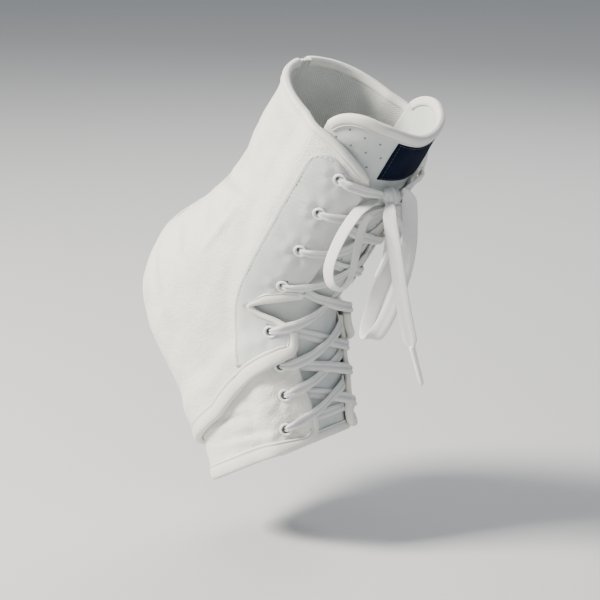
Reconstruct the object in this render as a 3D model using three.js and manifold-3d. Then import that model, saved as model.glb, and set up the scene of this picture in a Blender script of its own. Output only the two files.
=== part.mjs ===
// Laced ankle brace for the right foot, standing in the form that it has when it is worn.
// X points to the toes, Y to the inner side of the ankle and Z up. The origin is the centre
// of the ankle joint, inside the hollow. All lengths are in millimetres.
import * as THREE from 'three';
import { mergeVertices } from 'three/addons/utils/BufferGeometryUtils.js';
import Module from 'manifold-3d';

const wasm = await Module();
wasm.setup();

// Driving dimensions: the form of the leg and foot that the brace is shaped to
const SHAFT_RISE = 100;      // rim above the ankle crease, along the shin
const FOOT_RUN = 71;         // ankle crease to the front hem, along the instep
const SHAFT_DEPTH = 84;      // shin to calf at the rim
const SHAFT_WIDTH = 76;      // side to side at the rim
const SHIN_LEAN = 33;        // degrees that the shin leans forward
const INSTEP_DROP = 86;      // degrees that the instep falls below level
const FOOT_TURN = 62;        // degrees from the leg's axis to the foot's
const CREASE_RADIUS = 35;    // bend at the front of the ankle
const CREASE_FORWARD = 44.5; // crease ahead of the ankle's centre
const CREASE_ABOVE = 6;      // crease above the ankle's centre

// Cloth, tape and clearances
const WALL = 2;              // padded vinyl of the quarters and the forefoot wrap
const TONGUE_WALL = 1.8;
const FACING_WALL = 0.7;     // reinforcement under the eyelets
const LABEL_WALL = 0.6;
const TAPE = 0.9;            // folded binding tape
const NARROW_TAPE = 5;       // its width at the rim, the notch and the tongue
const WIDE_TAPE = 7.5;       // its width on the rear edge and the hem
const GAP = 0.3;             // between pieces that touch

// Openings of the front
const LACE_GAP = 42;         // between the two facings, round the front
const NOTCH_DEPTH = 23;      // slit at the ankle, measured from the facing's edge
const RIM_CORNER_DROP = 14;  // rounding of the rim where it meets the facing
const RIM_CORNER_RUN = 30;
const FACING_WIDTH = 32;
const FACING_CORNER = 14;    // arc at the top of the facing
const HEM_CORNER = 8;
const BACK_TAPE = 8;         // tape over the heel seam
const OVERLAP = 8;           // forefoot wrap hidden under the quarters
const OVERLAP_RAMP = 8;      // the quarter rises onto the wrap over this length
const RAMP_CLEAR = 4;        // and is up this far before it

// Tongue, label and lacing
const TONGUE_RISE = 118;
const TONGUE_HALF = 55;      // half of its width at the rim, round the leg
const TONGUE_FOOT_HALF = 34; // the same at the front hem
const TONGUE_BEYOND = 1.5;   // past the hem
const TONGUE_FADE = 14;      // beside it the panels come down to the leg over this length
const LABEL_WIDTH = 34;
const LABEL_HEIGHT = 21;
const EYELET_OUTER = 7.2;
const EYELET_HOLE = 4.4;
const EYELET_LIP = 0.8;
const EYELET_INSET = 12;     // from the facing's edge
const BARREL_WALL = 0.4;     // of the eyelet's barrel, through the cloth
const LACE_WIDTH = 5.5;      // where it is drawn tight
const LACE_OPEN = 8;         // where it hangs flat
const LACE_THICKNESS = 1.1;
const KNOT = { across: 7, along: 5.2, high: 4 };
const KNOT_PLACE = { at: -0.825, inset: 0.4 };   // its level, and its share of half the lace's gap
const AGLET = { length: 21, width: 3.2 };

// Clearances that follow from the gap
const LOOSE = 2.6 * GAP;           // under wide tapes, which lie on a stepped edge
const SEAT_CLEARANCE = 2 * GAP;    // under a flat lip on curved cloth
const WRAP_CLEARANCE = 1.6 * GAP;  // between a quarter and the wrap under it
const EYELET_ROOM = 4 * GAP;       // over an eyelet that a quarter covers
const LACE_CLEARANCE = 1.8 * GAP;  // between the lace and the tongue

// Facets
const ROUND_SIDES = 8;       // of an eyelet
const FACING_COLUMNS = 4;
const BACK_COLUMNS = 7;      // from the facing to the back
const TONGUE_COLUMNS = 12;

// Levels of the leg. at: share of the shaft's rise above the crease, of the foot's run below it.
// tilt: share of the foot's turn. depth and width: shares of the shaft's. belly: where along
// the depth the level is widest. front and back: how square its two ends are.
const LEVELS = [
  { at: -1.28, tilt: 0.00, depth: 1.000, width: 1.000, belly: 0.50, front: 2.1, back: 2.1 },
  { at: -0.95, tilt: 0.00, depth: 1.000, width: 0.975, belly: 0.50, front: 2.1, back: 2.1 },
  { at: -0.64, tilt: 0.03, depth: 1.000, width: 0.935, belly: 0.48, front: 2.1, back: 2.1 },
  { at: -0.42, tilt: 0.11, depth: 1.010, width: 0.920, belly: 0.46, front: 2.1, back: 2.0 },
  { at: -0.24, tilt: 0.23, depth: 1.130, width: 0.908, belly: 0.44, front: 2.1, back: 2.0 },
  { at: -0.08, tilt: 0.38, depth: 1.380, width: 0.895, belly: 0.42, front: 2.1, back: 2.1 },
  { at: 0.10, tilt: 0.54, depth: 1.465, width: 0.895, belly: 0.44, front: 2.2, back: 2.4 },
  { at: 0.34, tilt: 0.74, depth: 1.262, width: 0.920, belly: 0.50, front: 2.2, back: 2.5 },
  { at: 0.65, tilt: 0.92, depth: 1.012, width: 0.975, belly: 0.55, front: 2.2, back: 2.5 },
  { at: 1.03, tilt: 1.00, depth: 0.845, width: 1.040, belly: 0.60, front: 2.2, back: 2.6 },
];

// Slit in the front edge of a quarter. at: as above. back: share of the notch's depth behind the edge.
const NOTCH = [
  { at: -0.095, back: -0.01 }, { at: -0.070, back: 0.26 }, { at: -0.040, back: 0.64 },
  { at: -0.018, back: 0.92 }, { at: -0.004, back: 1.00 }, { at: 0.012, back: 0.95 },
  { at: 0.040, back: 0.74 }, { at: 0.068, back: 0.42 }, { at: 0.110, back: 0.14 },
  { at: 0.160, back: -0.01 },
];
// The same slit in the facing, which also clears the tapes of the notch and of the rear edge
const FACING_NOTCH = [
  { at: -0.160, back: -0.01 }, { at: -0.100, back: 0.66 }, { at: -0.050, back: 1.12 },
  { at: 0.000, back: 1.26 }, { at: 0.060, back: 1.06 }, { at: 0.085, back: 0.50 },
  { at: 0.130, back: 0.34 }, { at: 0.225, back: 0.36 }, { at: 0.280, back: 0.72 },
  { at: 0.330, back: 1.26 }, { at: 0.350, back: 1.36 }, { at: 0.380, back: 1.60 },
];
// Rear edge that the quarter lays over the forefoot wrap. at: as above. round: share of the
// way from the facing's edge to the middle of the sole.
const REAR_EDGE = [
  { at: 0.265, round: 0.00 }, { at: 0.300, round: 0.02 }, { at: 0.338, round: 0.06 },
  { at: 0.366, round: 0.11 }, { at: 0.423, round: 0.20 }, { at: 0.490, round: 0.29 },
  { at: 0.600, round: 0.43 }, { at: 0.700, round: 0.68 }, { at: 0.760, round: 0.90 },
];
// Eyelets of one side from the top. inset: share of the eyelet inset.
const EYELETS = [
  { at: -0.831, inset: 1.17 }, { at: -0.604, inset: 1.16 }, { at: -0.370, inset: 1.07 },
  { at: -0.149, inset: 0.92 }, { at: 0.144, inset: 0.93 }, { at: 0.380, inset: 0.67 },
  { at: 0.589, inset: 0.62 }, { at: 0.836, inset: 0.74 },
];
const SHAFT_EYELETS = 5;     // of the eight, those that sit on the quarter

// Routes of the four free ends of the lace, from the knot outwards
const NEAR_LOOP = [
  [87.6, -14.7, 70.8], [84.8, -18.0, 69.8], [83.8, -21.7, 68.8], [83.2, -28.6, 65.6], [79.5, -34.6, 55.9],
  [75.2, -37.6, 43.9], [73.5, -37.9, 35.6], [74.1, -36.1, 29.1], [77.1, -32.7, 26.4], [80.0, -29.6, 29.7],
  [81.7, -27.3, 39.0], [83.3, -25.4, 51.2], [84.7, -23.7, 59.2], [87.1, -20.9, 65.1],
];
const NEAR_END = [
  [93.9, -13.6, 70.2], [96.2, -17.0, 67.2], [97.1, -17.7, 62.5], [98.8, -17.4, 53.3], [101.6, -16.4, 36.3],
  [103.9, -14.6, 19.0], [106.1, -12.3, 3.5], [107.4, -10.7, -4.3],
];
const FAR_LOOP = [
  [97.0, -6.6, 75.4], [98.5, -6.3, 75.0], [98.8, -3.7, 70.9], [98.2, -1.9, 64.6], [97.5, -0.4, 56.9],
  [97.0, 0.1, 48.8], [95.8, -0.2, 39.1], [94.5, -1.5, 30.7], [92.4, -3.2, 21.6], [89.4, -5.8, 11.5],
  [86.4, -8.7, 2.9], [83.7, -10.6, -1.7], [80.4, -10.7, -3.7], [77.4, -9.1, -2.7], [76.4, -6.9, 1.3],
  [77.3, -5.2, 8.1], [80.1, -2.6, 19.4], [83.2, -1.2, 28.3], [85.5, -0.9, 38.2], [87.6, -1.6, 50.4],
  [90.6, -3.4, 61.2], [92.7, -5.2, 67.8],
];
const FAR_END = [
  [92.0, -10.7, 68.0], [94.1, -12.4, 65.5], [95.1, -10.8, 62.0], [94.1, -6.8, 57.5], [93.8, -6.3, 53.7],
  [95.2, -10.4, 51.5], [95.7, -13.4, 49.4], [93.7, -12.9, 46.1],
];

const radians = THREE.MathUtils.degToRad;
const lerp = THREE.MathUtils.lerp;
const smooth = THREE.MathUtils.smoothstep;
const downTo = (share) => share * (share < 0 ? SHAFT_RISE : FOOT_RUN);

// Smooth interpolation of one column of a table whose rows are ordered by their place
function column(rows, name, u, place = (row) => downTo(row.at)) {
  const xs = rows.map(place);
  const ys = rows.map((row) => row[name]);
  const last = rows.length - 1;
  const slope = (i) => {
    const a = Math.max(i - 1, 0);
    const b = Math.min(i + 1, last);
    return (ys[b] - ys[a]) / (xs[b] - xs[a]);
  };
  let k = 0;
  while (k < last - 1 && u > xs[k + 1]) k += 1;
  const h = xs[k + 1] - xs[k];
  const t = THREE.MathUtils.clamp((u - xs[k]) / h, 0, 1);
  const t2 = t * t;
  const t3 = t2 * t;
  return (2 * t3 - 3 * t2 + 1) * ys[k] + (t3 - 2 * t2 + t) * h * slope(k)
    + (3 * t2 - 2 * t3) * ys[k + 1] + (t3 - t2) * h * slope(k + 1);
}

// Straight interpolation of one column
function straight(rows, name, u, place = (row) => downTo(row.at)) {
  let k = 0;
  while (k < rows.length - 2 && u > place(rows[k + 1])) k += 1;
  const from = place(rows[k]);
  const t = THREE.MathUtils.clamp((u - from) / (place(rows[k + 1]) - from), 0, 1);
  return lerp(rows[k][name], rows[k + 1][name], t);
}

// The front line: the shin, an arc at the crease and the instep, in the XZ plane
const headingTop = -(Math.PI / 2 + radians(SHIN_LEAN));
const headingFoot = -radians(INSTEP_DROP);
const arcLength = CREASE_RADIUS * (headingFoot - headingTop);
function frontLine(u) {
  const middle = (headingTop + headingFoot) / 2;
  const bent = THREE.MathUtils.clamp(u, -arcLength / 2, arcLength / 2);
  const heading = middle + bent / CREASE_RADIUS;
  const beyond = u - bent;
  return new THREE.Vector3(
    CREASE_FORWARD + CREASE_RADIUS * (Math.sin(heading) - Math.sin(middle)) + beyond * Math.cos(heading),
    0,
    CREASE_ABOVE - CREASE_RADIUS * (Math.cos(heading) - Math.cos(middle)) + beyond * Math.sin(heading),
  );
}

// A level of the leg: half of its outline as points of depth and side, with their run from the front
const OUTLINE_STEPS = 160;
const levels = new Map();
function level(u) {
  const key = u.toFixed(3);
  if (levels.has(key)) return levels.get(key);
  const depth = column(LEVELS, 'depth', u) * SHAFT_DEPTH;
  const side = column(LEVELS, 'width', u) * SHAFT_WIDTH / 2;
  const belly = column(LEVELS, 'belly', u) * depth;
  const squareFront = column(LEVELS, 'front', u);
  const squareBack = column(LEVELS, 'back', u);
  const run = [0];
  const along = [];
  const across = [];
  for (let i = 0; i <= OUTLINE_STEPS; i += 1) {
    const turn = Math.PI * i / OUTLINE_STEPS;
    const ahead = turn <= Math.PI / 2;
    const power = 2 / (ahead ? squareFront : squareBack);
    const reach = Math.abs(Math.cos(turn)) ** power;
    along.push(ahead ? belly * (1 - reach) : belly + (depth - belly) * reach);
    across.push(side * Math.abs(Math.sin(turn)) ** power);
    if (i > 0) run.push(run[i - 1] + Math.hypot(along[i] - along[i - 1], across[i] - across[i - 1]));
  }
  const heading = Math.PI - radians(SHIN_LEAN) + column(LEVELS, 'tilt', u) * radians(FOOT_TURN);
  const made = { run, along, across, heading, front: frontLine(u), half: run[OUTLINE_STEPS] };
  levels.set(key, made);
  return made;
}
const halfGirth = (u) => level(u).half;

// A point of the leg's surface at a level, by its run round the leg from the front:
// positive on the outer side, negative on the inner side, and over the back either way
function surface(u, run) {
  const at = level(u);
  let side = Math.sign(run) || 1;
  let length = Math.abs(run);
  if (length > at.half) {
    length = 2 * at.half - length;
    side = -side;
  }
  let low = 0;
  let high = OUTLINE_STEPS;
  while (high - low > 1) {
    const middle = (low + high) >> 1;
    if (at.run[middle] <= length) low = middle;
    else high = middle;
  }
  const t = (length - at.run[low]) / (at.run[high] - at.run[low]);
  const along = lerp(at.along[low], at.along[high], t);
  const across = lerp(at.across[low], at.across[high], t);
  return new THREE.Vector3(
    at.front.x + along * Math.cos(at.heading),
    -side * across,
    at.front.z + along * Math.sin(at.heading),
  );
}

// Directions on the surface: down the leg, round it, and out of it
const PROBE = 1.5;
function frame(u, run) {
  const down = surface(u + PROBE, run).sub(surface(u - PROBE, run)).divideScalar(2 * PROBE);
  const round = surface(u, run + PROBE).sub(surface(u, run - PROBE)).normalize();
  const out = round.clone().cross(down).normalize();
  return { down, round, out };
}
function skin(u, run, height) {
  return surface(u, run).addScaledVector(frame(u, run).out, height);
}

// Layers, as heights over the leg's surface: the tongue, the lace's room, the panels over it
const facingEdge = LACE_GAP / 2;
const INNER = -WALL;
const tongueTop = INNER + TONGUE_WALL;
const laceRoom = TONGUE_WALL + 3.4 * GAP + LACE_THICKNESS;
const shaftBend = -0.6 * SHAFT_RISE;   // above it the levels follow the rim
const tongueHalf = (u) => lerp(TONGUE_HALF, TONGUE_FOOT_HALF, smooth(u, shaftBend, FOOT_RUN));
const overTongue = (u, run) => {
  const edge = tongueHalf(u) + 3 * GAP;
  return laceRoom * (1 - smooth(Math.abs(run), edge, edge + TONGUE_FADE));
};
const roundTo = (share, u) => facingEdge + share * (halfGirth(u) - facingEdge);
const rearEdgeAt = (run, u) => {
  const share = THREE.MathUtils.clamp((run - facingEdge) / (halfGirth(u) - facingEdge), 0, 1);
  return downTo(straight(REAR_EDGE, 'at', share, (row) => row.round));
};
const sixth = EYELETS[SHAFT_EYELETS];
const eyeletRun = (eyelet) => facingEdge + eyelet.inset * EYELET_INSET;
const wrapOuter = (u, run) => overTongue(u, run);
const overWrap = (u, run) => {
  const start = rearEdgeAt(Math.abs(run), u) - OVERLAP;
  const away = Math.hypot(u - downTo(sixth.at), Math.abs(run) - eyeletRun(sixth));
  const risen = smooth(u, start - RAMP_CLEAR - OVERLAP_RAMP, start - RAMP_CLEAR);
  const bump = (EYELET_LIP + EYELET_ROOM) * (1 - smooth(away, 0.6 * EYELET_OUTER, 2 * EYELET_OUTER));
  return (WALL + WRAP_CLEARANCE + bump) * risen;
};
const quarterOuter = (u, run) => overTongue(u, run) + overWrap(u, run);
const facingOuter = (u, run) => quarterOuter(u, run) + GAP + FACING_WALL;

// Solids

// A closed solid from rings of equal length, capped at both ends
function loft(rings) {
  const count = rings[0].length;
  const points = rings.flat();
  const index = [];
  for (let i = 0; i < rings.length - 1; i += 1) {
    for (let j = 0; j < count; j += 1) {
      const a = i * count + j;
      const b = i * count + (j + 1) % count;
      index.push(a, b, b + count, a, b + count, a + count);
    }
  }
  return { points, index, count };
}
function toGeometry(points, index) {
  const geometry = new THREE.BufferGeometry();
  const flat = points.flatMap((point) => point.toArray());
  geometry.setAttribute('position', new THREE.Float32BufferAttribute(flat, 3));
  geometry.setIndex(index);
  return geometry;
}
// Turns a closed geometry inside out if its volume comes out negative
function facingOut(geometry) {
  const position = geometry.attributes.position;
  const index = Array.from(geometry.index.array);
  const a = new THREE.Vector3();
  const b = new THREE.Vector3();
  const c = new THREE.Vector3();
  let volume = 0;
  for (let i = 0; i < index.length; i += 3) {
    a.fromBufferAttribute(position, index[i]);
    b.fromBufferAttribute(position, index[i + 1]);
    c.fromBufferAttribute(position, index[i + 2]);
    volume += a.dot(b.cross(c));
  }
  if (volume < 0) {
    for (let i = 0; i < index.length; i += 3) [index[i], index[i + 1]] = [index[i + 1], index[i]];
    geometry.setIndex(index);
  }
  return geometry;
}

// A wall over a grid of places [u, run], between two heights
function wall(grid, inner, outer) {
  const rows = grid.length;
  const columns = grid[0].length;
  const points = [];
  for (const height of [inner, outer]) {
    for (const row of grid) for (const [u, run] of row) points.push(skin(u, run, height(u, run)));
  }
  const inside = (i, j) => i * columns + j;
  const outside = (i, j) => rows * columns + inside(i, j);
  const index = [];
  const quad = (a, b, c, d) => index.push(a, b, c, a, c, d);
  for (let i = 0; i < rows - 1; i += 1) {
    for (let j = 0; j < columns - 1; j += 1) {
      quad(outside(i, j), outside(i, j + 1), outside(i + 1, j + 1), outside(i + 1, j));
      quad(inside(i, j), inside(i + 1, j), inside(i + 1, j + 1), inside(i, j + 1));
    }
    quad(outside(i, 0), outside(i + 1, 0), inside(i + 1, 0), inside(i, 0));
    const last = columns - 1;
    quad(outside(i + 1, last), outside(i, last), inside(i, last), inside(i + 1, last));
  }
  for (let j = 0; j < columns - 1; j += 1) {
    quad(outside(0, j + 1), outside(0, j), inside(0, j), inside(0, j + 1));
    const last = rows - 1;
    quad(outside(last, j), outside(last, j + 1), inside(last, j + 1), inside(last, j));
  }
  return facingOut(toGeometry(points, index));
}

// A tape along an edge. Each point of the path is [u, run]; the profile's points are
// [reach into the cloth, height over it], and base gives the cloth's outer height.
function binding(path, profileAt, base, turn = 1) {
  const rings = path.map((place, i) => {
    const before = path[Math.max(i - 1, 0)];
    const after = path[Math.min(i + 1, path.length - 1)];
    const { down, round, out } = frame(place[0], place[1]);
    const travel = down.clone().multiplyScalar(after[0] - before[0]);
    travel.addScaledVector(round, after[1] - before[1]);
    const into = travel.cross(out).normalize().multiplyScalar(turn);
    const skew = down.dot(round);
    const scale = down.dot(down) - skew * skew;
    const perLevel = (into.dot(down) - skew * into.dot(round)) / scale;
    const perRun = into.dot(round) - skew * perLevel;
    return profileAt(i / (path.length - 1)).map(([reach, height]) => {
      const u = place[0] + perLevel * reach;
      const run = place[1] + perRun * reach;
      return skin(u, run, base(u, run) + height);
    });
  });
  const profile = profileAt(0).map(([reach, height]) => new THREE.Vector2(reach, height));
  const { points, index, count } = loft(rings);
  const caps = THREE.ShapeUtils.triangulateShape(profile, []);
  const last = (rings.length - 1) * count;
  const turned = THREE.ShapeUtils.area(profile) > 0;
  for (const [a, b, c] of caps) {
    if (turned) index.push(b, a, c, last + a, last + b, last + c);
    else index.push(a, b, c, last + b, last + a, last + c);
  }
  return facingOut(toGeometry(points, index));
}
// Tape folded over an edge: a leg on the cloth and a rounded fold outside the edge
const folded = (width, cloth, lift = GAP, away = GAP) => () => [
  [width, lift], [width, lift + TAPE], [width / 2, lift + TAPE], [0, lift + TAPE], [-away - TAPE, lift],
  [-away - TAPE, -cloth], [-away, -cloth], [-away, lift], [width / 2, lift],
];
const flatTape = (width) => () => [
  [-width / 2, GAP], [-width / 2, GAP + TAPE], [0, GAP + TAPE], [width / 2, GAP + TAPE],
  [width / 2, GAP], [0, GAP],
];

function mirrored(geometry) {
  const copy = geometry.clone();
  copy.scale(1, -1, 1);
  return facingOut(copy);
}
function toSolid(geometry) {
  const bare = geometry.clone();
  bare.deleteAttribute('normal');
  bare.deleteAttribute('uv');
  const merged = mergeVertices(bare, 1e-4);
  return new wasm.Manifold(new wasm.Mesh({
    numProp: 3,
    vertProperties: new Float32Array(merged.attributes.position.array),
    triVerts: new Uint32Array(merged.index.array),
  }));
}
function fromSolid(solid) {
  const mesh = solid.getMesh();
  const geometry = new THREE.BufferGeometry();
  const flat = [];
  for (let i = 0; i < mesh.vertProperties.length; i += mesh.numProp) {
    flat.push(mesh.vertProperties[i], mesh.vertProperties[i + 1], mesh.vertProperties[i + 2]);
  }
  geometry.setAttribute('position', new THREE.Float32BufferAttribute(flat, 3));
  geometry.setIndex(Array.from(mesh.triVerts));
  return geometry;
}

// Where an eyelet sits: the middle of its seat and the direction out of it
function seat(eyelet, outer) {
  const u = downTo(eyelet.at);
  const run = eyeletRun(eyelet);
  const at = (a, b) => skin(a, b, outer(a, b));
  const down = at(u + PROBE, run).sub(at(u - PROBE, run));
  const round = at(u, run + PROBE).sub(at(u, run - PROBE));
  return { u, run, middle: at(u, run), out: round.cross(down).normalize() };
}
const eyeletSeats = EYELETS.map((eyelet, i) => seat(eyelet, i < SHAFT_EYELETS ? facingOuter : wrapOuter));
const barrelRadius = EYELET_HOLE / 2 + BARREL_WALL;
function seated(geometry, place) {
  geometry.applyQuaternion(new THREE.Quaternion().setFromUnitVectors(new THREE.Vector3(0, 1, 0), place.out));
  geometry.translate(place.middle.x, place.middle.y, place.middle.z);
  return geometry;
}
function eyeletGeometry(place, through) {
  const hole = EYELET_HOLE / 2;
  const outer = EYELET_OUTER / 2;
  const top = SEAT_CLEARANCE + EYELET_LIP;
  const profile = [
    [hole, -through], [barrelRadius, -through], [barrelRadius, SEAT_CLEARANCE], [outer, SEAT_CLEARANCE],
    [outer - EYELET_LIP / 3, top], [hole, top], [hole, -through],
  ];
  const ring = new THREE.LatheGeometry(profile.map(([r, y]) => new THREE.Vector2(r, y)), ROUND_SIDES);
  ring.deleteAttribute('normal');
  ring.deleteAttribute('uv');
  return facingOut(seated(mergeVertices(ring, 1e-4), place));
}
// Cuts the eyelets' holes through a panel
function pierced(panel, places) {
  const reach = 3 * (WALL + laceRoom);
  let solid = panel;
  for (const place of places) {
    const drill = new THREE.CylinderGeometry(barrelRadius + GAP, barrelRadius + GAP, reach, ROUND_SIDES);
    solid = solid.subtract(toSolid(seated(drill, place)));
  }
  return fromSolid(solid);
}

// Panels. All share one lattice of levels and runs, so that layers lie true on each other.
const rimAt = (run) => {
  const short = 1 - THREE.MathUtils.clamp((run - facingEdge) / RIM_CORNER_RUN, 0, 1);
  return -SHAFT_RISE + RIM_CORNER_DROP * short * short;
};
const steps = (from, to, count) => Array.from({ length: count + 1 }, (_, i) => lerp(from, to, i / count));
const upperRows = [-1, -0.87, -0.74, -0.6, -0.45, -0.34, -0.25, -0.17, -0.10, -0.04];
const lowerRows = [0.04, 0.11, 0.18, 0.24, 0.30, 0.36, 0.42, 0.48, 0.55, 0.62, 0.70, 0.78];
const hemRows = [0.88, 1.00];
const wrapRows = [...lowerRows.slice(1), ...hemRows];
const facingBack = facingEdge + FACING_WIDTH;
const facingRuns = steps(facingEdge, facingBack, FACING_COLUMNS);
const runsTo = (back) => [...facingRuns, ...steps(facingBack, back, BACK_COLUMNS).slice(1)];
const raised = (u, top) => {
  const fall = (u + SHAFT_RISE) / (shaftBend + SHAFT_RISE);
  return fall < 1 ? lerp(top, shaftBend, fall) : u;
};

// Cutters reach well past both faces of a panel, and past its edge
const cutReach = 3 * laceRoom;
const besideEdge = 8;
const cutter = (grid) => toSolid(wall(grid, () => -cutReach, () => cutReach));
const slitCutter = (rows) => cutter(rows.map((row) => {
  const runs = steps(facingEdge - besideEdge, facingEdge + NOTCH_DEPTH * row.back, 4);
  return runs.map((run) => [downTo(row.at), run]);
}));
// Each stretch of the rear edge's table is halved once
const rearShares = REAR_EDGE.flatMap((row, i) => (
  i ? [(row.round + REAR_EDGE[i - 1].round) / 2, row.round] : [row.round]));
const rearEdge = (share) => downTo(straight(REAR_EDGE, 'at', Math.max(share, 0), (row) => row.round));
const pastRearEdge = () => cutter([-0.1, ...rearShares, 1.04].map((share) => (
  steps(rearEdge(share), 1.25 * FOOT_RUN, 7).map((u) => [u, roundTo(share, u)]))));
const beforeWrap = () => cutter([-0.1, ...rearShares, 1.04].map((share) => (
  steps(-0.2 * FOOT_RUN, rearEdge(share) - OVERLAP, 4).map((u) => [u, roundTo(share, u)]))));

function quarter() {
  const grid = [...upperRows, ...lowerRows].map(downTo).map((u) => (
    runsTo(halfGirth(u) - GAP / 2).map((run) => [raised(u, rimAt(run)), run])));
  const body = toSolid(wall(grid, (u, run) => quarterOuter(u, run) - WALL, quarterOuter));
  const trimmed = body.subtract(slitCutter(NOTCH)).subtract(pastRearEdge());
  return pierced(trimmed, eyeletSeats.slice(0, SHAFT_EYELETS));
}

// Facing: lies on the quarter behind its front edge, up to a sewn line
function facing() {
  const topAt = (run) => {
    const short = (rimAt(run) + SHAFT_RISE) / RIM_CORNER_DROP;
    const round = Math.max(0, (run - (facingBack - FACING_CORNER)) / FACING_CORNER);
    const arc = FACING_CORNER * (1 - Math.sqrt(1 - Math.min(round, 0.99) ** 2));
    return rimAt(run) + NARROW_TAPE * (1 + 0.5 * short) + 3 * GAP + arc;
  };
  const rows = [...upperRows, ...lowerRows].filter((at) => at < FACING_NOTCH.at(-1).at).map(downTo);
  const grid = rows.map((u) => facingRuns.map((run) => [raised(u, topAt(run)), run]));
  const body = toSolid(wall(grid, (u, run) => quarterOuter(u, run) + GAP, facingOuter));
  return pierced(body.subtract(slitCutter(FACING_NOTCH)), eyeletSeats.slice(0, SHAFT_EYELETS));
}

// Forefoot wrap: one panel from facing to facing under the sole
const HEM = FOOT_RUN;
const wrapFront = (u) => facingEdge * lerp(0.98, 0.66, smooth(u, 0.3 * FOOT_RUN, 0.9 * FOOT_RUN));
const hemAt = (run) => {
  const short = 1 - THREE.MathUtils.clamp((run - wrapFront(HEM)) / HEM_CORNER, 0, 1);
  return HEM - HEM_CORNER * (1 - Math.sqrt(1 - short * short * 0.98));
};
function forefoot() {
  const rows = wrapRows.map(downTo);
  const hemBend = downTo(lowerRows.at(-1));
  const grid = rows.map((u) => {
    const half = halfGirth(u);
    const side = [wrapFront(u), 0.5 * (wrapFront(u) + facingRuns[1]), ...runsTo(half).slice(1)];
    const share = (u - hemBend) / (HEM - hemBend);
    const near = side.map((run) => [share > 0 ? lerp(hemBend, hemAt(run), share) : u, run]);
    return [...near, ...near.slice(0, -1).reverse().map(([v, run]) => [v, 2 * halfGirth(v) - run])];
  });
  const outer = (u, run) => wrapOuter(u, foldBack(u, run));
  const near = eyeletSeats.slice(SHAFT_EYELETS);
  const across = near.map((place) => ({
    middle: place.middle.clone().multiply(new THREE.Vector3(1, -1, 1)),
    out: place.out.clone().multiply(new THREE.Vector3(1, -1, 1)),
  }));
  const hidden = beforeWrap();
  const body = toSolid(wall(grid, (u, run) => outer(u, run) - WALL, outer));
  return pierced(body.subtract(hidden).subtract(hidden.mirror([0, 1, 0])), [...near, ...across]);
}
// The run of a place past the back, measured from the other side
const foldBack = (u, run) => Math.min(Math.abs(run), 2 * halfGirth(u) - Math.abs(run));

// Tongue: dips a little in the middle of its top edge, with rounded corners
const tongueTopAt = (run) => {
  const share = Math.min(1, Math.abs(run) / TONGUE_HALF);
  const corner = Math.max(0, (share - 0.62) / 0.38);
  const dip = 3 * (1 - smooth(Math.abs(run), 0, TONGUE_HALF / 2));
  return -TONGUE_RISE + dip + 0.34 * TONGUE_HALF * (1 - Math.sqrt(1 - Math.min(corner, 0.97) ** 2));
};
const tongueEnd = FOOT_RUN + TONGUE_BEYOND;
const tongueRows = [
  ...steps(-TONGUE_RISE, shaftBend, 4), ...steps(-0.42 * SHAFT_RISE, -0.22 * SHAFT_RISE, 1),
  ...steps(-0.13 * SHAFT_RISE, tongueEnd, 10),
];
function tongue() {
  const grid = tongueRows.map((u) => steps(-1, 1, TONGUE_COLUMNS).map((share) => {
    const run = share * tongueHalf(u);
    const fall = (u + TONGUE_RISE) / (shaftBend + TONGUE_RISE);
    return [u < shaftBend ? lerp(tongueTopAt(run), shaftBend, fall) : u, run];
  }));
  return wall(grid, () => INNER, () => tongueTop);
}
function label() {
  const top = tongueTopAt(0) + NARROW_TAPE + 4 * GAP;
  const grid = steps(top, top + LABEL_HEIGHT, 3).map((u) => (
    steps(-LABEL_WIDTH / 2, LABEL_WIDTH / 2, 6).map((run) => [u, run])));
  return wall(grid, () => tongueTop + GAP, () => tongueTop + GAP + LABEL_WALL);
}

// Bindings
function rimBinding() {
  const half = halfGirth(-SHAFT_RISE) - GAP / 2;
  const beforeTape = half - BACK_TAPE / 2 - GAP / 2;
  const runs = [facingEdge + 3 * GAP, ...runsTo(half).slice(1, -1), beforeTape].reverse();
  return binding(runs.map((run) => [rimAt(run), run]), folded(NARROW_TAPE, WALL), quarterOuter);
}
function notchBinding() {
  const path = NOTCH.slice(0, 7).map((row) => [downTo(row.at), facingEdge + NOTCH_DEPTH * row.back]);
  const width = (t) => lerp(NARROW_TAPE, NARROW_TAPE / 3, smooth(t, 0.5, 0.9));
  return binding(path, (t) => folded(width(t), WALL)(), quarterOuter);
}
function rearEdgeBinding() {
  const path = rearShares.slice(0, 13).map((share) => [rearEdge(share), roundTo(share, rearEdge(share))]);
  return binding(path, folded(WIDE_TAPE, WALL, LOOSE, LOOSE), quarterOuter);
}
function hemBinding() {
  const start = wrapFront(HEM);
  const runs = [
    ...steps(start + 0.4, start + HEM_CORNER, 4), 0.5 * (start + HEM_CORNER + facingRuns[1]),
    ...runsTo(halfGirth(HEM)).slice(1),
  ];
  const side = runs.map((run) => [hemAt(run), run]);
  const far = side.slice(0, -1).reverse().map(([u, run]) => [u, 2 * halfGirth(u) - run]);
  const base = (u, run) => wrapOuter(u, foldBack(u, run));
  // Narrower at its two ends, where it turns the hem's corners
  const width = (t) => lerp(NARROW_TAPE, WIDE_TAPE, smooth(Math.min(t, 1 - t), 0, 0.2));
  return binding([...side, ...far], (t) => folded(width(t), WALL, LOOSE)(), base);
}
function tongueTopBinding() {
  const half = 0.985 * TONGUE_HALF;
  const path = steps(-half, half, 18).map((run) => [tongueTopAt(run), run]);
  return binding(path, folded(NARROW_TAPE, TONGUE_WALL), () => tongueTop, -1);
}
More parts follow.
